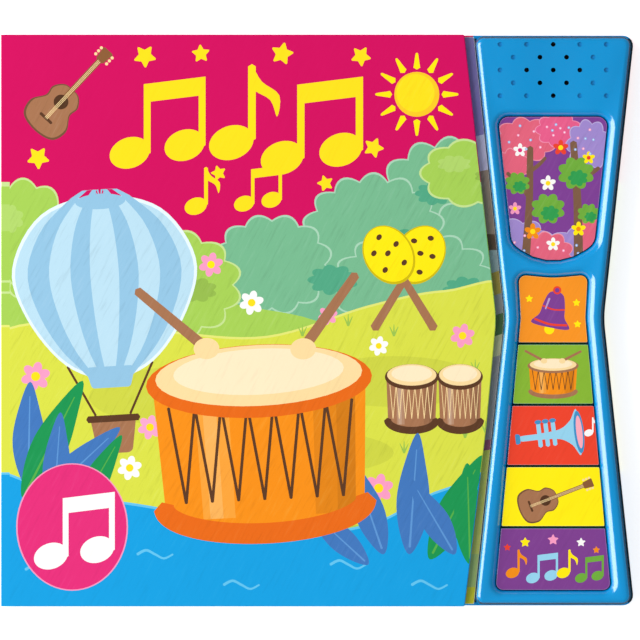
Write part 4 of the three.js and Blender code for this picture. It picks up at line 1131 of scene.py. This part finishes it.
def first_page():
    """The picture on the first page: hills, water and a meadow at dusk."""
    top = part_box("page_block")[1].z
    sheet = Sheet("base", leaf_outline(), top, top + PAGE_INK)
    sheet.group("first_page", "page_board")
    page = Pen(sheet, "first_page")
    page.add([(-130, -120), (90, -120), (90, 120), (-130, 120)], "#7e72a6", 0.05)
    for colour, places in (
        ("#b8b4c8", [(-90, 66), (-40, 74), (10, 66), (60, 72)]),
        ("#8f7d6c", [(-90, 54), (-40, 46), (10, 58), (60, 58)]),
        ("#8c9b98", [(-90, 30), (-40, 36), (10, 22), (60, 26)]),
        ("#a08a3c", [(-90, 12), (-40, 18), (10, 12), (60, 17)]),
        ("#8b8a86", [(-90, 6), (-40, 10), (10, 4), (60, 8)]),
        ("#4f6a40", [(-90, -2), (-40, 2), (10, -6), (60, 0)]),
        ("#b9b48c", [(-90, -10), (-40, -4), (10, -12), (60, -8)]),
        ("#8f8a8c", [(-90, -16), (-40, -10), (10, -20), (60, -16)]),
        ("#94506c", [(-90, -52), (-40, -44), (10, -54), (60, -48)]),
        ("#b9bb58", [(-90, -55), (-40, -47), (10, -57), (60, -52)]),
        ("#a0b468", [(-90, -84), (-40, -92), (10, -84), (60, -92)]),
        ("#c8c22c", [(-90, -104), (-40, -109), (10, -102), (60, -105)]),
    ):
        ends = [(140, places[-1][1]), (180, -200), (-200, -200), (-150, places[0][1])]
        page.add(smooth(places + ends), colour, 0.08)
    page.add(stroke([(-100, 24), (-40, 35), (10, 27), (60, 31), (90, 29)], 7, 6), "#5f4a38", 0.08)
    for x, y, rx, ry, bumps, colour in (
        (-86, 44, 26, 18, 13, "#d4687c"), (-30, 52, 20, 15, 11, LILAC), (24, 46, 15, 11, 10, "#d4687c"),
        (-104, -28, 18, 12, 11, FRESH_GREEN), (-14, -34, 15, 10, 10, DEEP_TEAL),
        (34, -44, 12, 8, 9, FRESH_GREEN),
    ):
        bush(page, x, y, rx, ry, bumps, colour)
    for x, y, size in ((-96, 92, 18), (-48, 88, 14), (-4, 92, 18)):
        draw_pair(page, YELLOW, x, y - 4, size)
    draw_sun(Pen(sheet, "first_page", (38, 92)), 13)
    draw_balloon(Pen(sheet, "first_page", (-58, -22), -0.05), 54)
    draw_guitar(Pen(sheet, "first_page", (4, -78), 0.9), 38)
    draw_drum(Pen(sheet, "first_page", (-92, -86)), 36, 30, ORANGE, DARK_BROWN, CREAM, DEEP_ORANGE)
    for x, y, petal in (
        (-66, -92, LIGHT_PINK), (-40, -72, WHITE), (-26, -98, ROSE), (42, -92, WHITE), (52, -70, LIGHT_PINK),
    ):
        draw_flower(page, x, y, 6, petal, SUN_YELLOW)
    sheet.build()


def endpapers(material):
    """The pasted-down sheet inside the front cover, and the lining on the page block's spine."""
    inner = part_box("front_cover")[0].z
    outline = inset(sharpened(outline_of("front_cover"), CORNER_SIDE), ENDPAPER_RIM)
    sheet = Sheet("cover", outline, inner - ENDPAPER, inner)
    sheet.group("endpaper_front", "page_board")
    paper = Pen(sheet, "endpaper_front")
    paper.add(outline_of("front_cover"), "#f6dfe8", 0.04)
    for row in range(7):
        for column in range(6):
            x, y = -106 + 34 * column + 17 * (row % 2), -96 + 32 * row
            if (row + column) % 2:
                draw_note(paper, "#e9a3c0", x - 2, y - 4, 11)
            else:
                paper.add(star(x, y, 5, turn=0.3 * row), "#f4c98a")
    sheet.build()
    low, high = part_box("page_block")
    x = low.x
    foot, head = low.z + 0.3 * MM, high.z - 0.3 * MM
    outline = [(x - 0.2 * MM, foot), (x, foot), (x, head), (x - 0.2 * MM, head)]
    lining = strip("spine_lining", outline, low.y + 3 * MM, high.y - 3 * MM, 1, material, "page_board")
    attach(lining, "base")


# Putting the materials on


def wrap_material(name, bands, shade_from=None):
    """The case's printed paper: the picture's colours carried over its edges. Past the given x, the back
    cover's upper face carries painted shade in dark blue-grey beside the module, and plastic blue near head
    and foot.
    """
    graph = Graph(name)
    axes = graph.axes()
    share = graph.node("ShaderNodeMapRange")
    share.inputs["From Min"].default_value = CAD_LOW.y
    share.inputs["From Max"].default_value = CAD_HIGH.y
    graph.join(axes["Y"], share.inputs["Value"])
    low, height = CAD_LOW.y / MM, (CAD_HIGH.y - CAD_LOW.y) / MM
    stops = [((y - low) / height, colour) for y, colour in bands]
    colour = graph.ramp(share.outputs["Result"], stops, "CONSTANT")
    if shade_from:
        side = graph.math("GREATER_THAN", graph.math("ABSOLUTE", axes["Y"]), CAD_HIGH.y - PAINTED_SHADE_END)
        # painted shade: dark blue-grey stands for the shadow beside the module, plastic blue near head and
        # foot
        painted_shade = graph.mix(side, linear("#1c323e"), linear(BLUE_PLASTIC))
        inside = graph.math("GREATER_THAN", axes["Z"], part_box("back_cover")[1].z - 0.3 * MM)
        beyond = graph.math("GREATER_THAN", axes["X"], shade_from)
        colour = graph.mix(graph.math("MULTIPLY", inside, beyond), colour, painted_shade)
    graph.set(Base_Color=colour)
    laminated(graph)
    return graph.material


def dress(bands):
    """Gives every piece its material, and draws the case's papers."""
    sky = wrap_material("case_paper", bands)
    # the back cover's paper carries painted shade beside the module
    back = wrap_material("back_paper_painted_shade", bands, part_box("front_housing")[0].x)
    shell_copy("front_cover", "front_cover_case", "cover", sky, COVER_EDGE)
    shell_copy("spine_board", "spine_case", "spine", sky, CASE_EDGE)
    shell_copy("back_cover", "back_cover_case", "base", back, CASE_EDGE)
    follow_module(shell_copy("page_block", "page_leaves", "base", page_material(), 0, 30))
    housing = moulded("housing_plastic", BLUE_PLASTIC)
    shell_copy("front_housing", "module_front", "base", housing, 0, 42)
    # the keys carry painted light that lightens the shaded gaps between them
    key_plastic = moulded("key_plastic", "#0a9ad6", 0.3, glow=KEY_PAINTED_LIGHT)
    for n in KEYS:
        shell_copy(f"key_{n}", f"key_cap_{n}", f"sound_key_{n}", key_plastic, KEY_EDGE)
    give("rear_housing", moulded("rear_plastic", BLUE_PLASTIC, 0.35))
    give("battery_door", moulded("door_plastic", BLUE_PLASTIC, 0.35))
    rubber = dull_plastic("silicone", "#d8d8d4", 0.6)
    steel = metal("steel", "#c2c5c9")
    nickel = metal("nickel", "#d8d7d0", 0.2)
    plain = {
        "circuit_board": circuit_material(),
        "sound_chip": dull_plastic("epoxy", "#1c1c1e", 0.3),
        "speaker_frame": dull_plastic("enamel", "#232427", 0.5),
        "speaker_magnet": metal("magnet", "#8f9196", 0.4),
        "speaker_cone": dull_plastic("cone_paper", "#2c2a29", 0.85),
        "speaker_lead_1": dull_plastic("lead_red", "#c02020"),
        "speaker_lead_2": dull_plastic("lead_black", "#222222"),
        "battery_contact": nickel,
        "battery_spring": nickel,
        "battery_screw": steel,
    }
    for node, material in plain.items():
        give(node, material)
    for n in KEYS:
        dome = shell_copy(f"dome_{n}", f"rubber_dome_{n}", "base", rubber)
        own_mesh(dome)
        give(f"housing_screw_{n}", steel)
    for number in range(1, 4):
        give(f"button_cell_{number}", nickel)
    wrap_hinges(sky)
    endpapers(cloth_material())
    first_page()


def give(node, material):
    """Puts a material on a CAD node that shows as it is."""
    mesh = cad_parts[node].data
    mesh.materials.clear()
    mesh.materials.append(material)
    for face in mesh.polygons:
        face.material_index = 0


# Camera, light and floor


def add_camera():
    data = bpy.data.cameras.new("camera")
    data.sensor_width = SENSOR
    data.lens = LENS
    camera = linked("camera", data)
    distance = PHOTO_SCALE * PHOTO_SIDE * LENS / SENSOR
    camera.location = (*PHOTO_CENTRE, COVER_TOP + distance)
    bpy.context.scene.camera = camera
    data.clip_start = 0.01
    data.clip_end = 20


def add_key_light():
    """One large soft light from the left, as in the photograph."""
    data = bpy.data.lights.new("key_light", "AREA")
    data.shape = "RECTANGLE"
    data.size, data.size_y = KEY_SIZE
    data.energy = KEY_POWER
    lamp = linked("key_light", data)
    lamp.location = KEY_PLACE
    lamp.rotation_euler = (Vector(KEY_TARGET) - Vector(KEY_PLACE)).to_track_quat("-Z", "Y").to_euler()


def add_world():
    """A white surrounding that lights softly, mirrors dimly and shows as white."""
    world = bpy.data.worlds.new("studio")
    bpy.context.scene.world = world
    world.use_nodes = True
    nodes, links = world.node_tree.nodes, world.node_tree.links
    nodes.clear()
    path = nodes.new("ShaderNodeLightPath")
    output = nodes.new("ShaderNodeOutputWorld")
    shown = None
    for strength, ray in ((WORLD_DIFFUSE, None), (WORLD_MIRRORED, "Is Glossy Ray"), (1.0, "Is Camera Ray")):
        sky = nodes.new("ShaderNodeBackground")
        sky.inputs["Color"].default_value = (1, 1, 1, 1)
        sky.inputs["Strength"].default_value = strength
        if ray:
            mix = nodes.new("ShaderNodeMixShader")
            links.new(path.outputs[ray], mix.inputs[0])
            links.new(shown.outputs[0], mix.inputs[1])
            links.new(sky.outputs[0], mix.inputs[2])
            shown = mix
        else:
            shown = sky
    links.new(shown.outputs[0], output.inputs[0])


def add_floor():
    """A white sheet that looks darker in reflections, so that the glossy module keeps its depth."""
    bpy.ops.mesh.primitive_plane_add(size=FLOOR_SIDE, location=(0, 0, -FLOOR_DROP))
    floor = bpy.context.object
    floor.name = "floor"
    graph = Graph("floor")
    grain = graph.noise(graph.place(), 0.2, 2.0)
    graph.set(Roughness=0.9)
    path = graph.node("ShaderNodeLightPath")
    paper = graph.ramp(grain, [(0.3, "#fbfbfb"), (0.7, "#ffffff")])
    graph.set(Base_Color=graph.mix(path.outputs["Is Glossy Ray"], paper, linear("#5a5a5a")))
    lift = graph.math("MULTIPLY", path.outputs["Is Camera Ray"], FLOOR_GLOW)
    graph.set(Emission_Color=(1, 1, 1, 1), Emission_Strength=lift)
    floor.data.materials.append(graph.material)


bpy.context.scene.view_settings.view_transform = "Standard"
picture = cover_picture()
dress(edge_bands(picture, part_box("front_cover")[0].x / MM + 1))
picture.build()
garden_label()
small_labels()
add_camera()
add_world()
add_key_light()
add_floor()
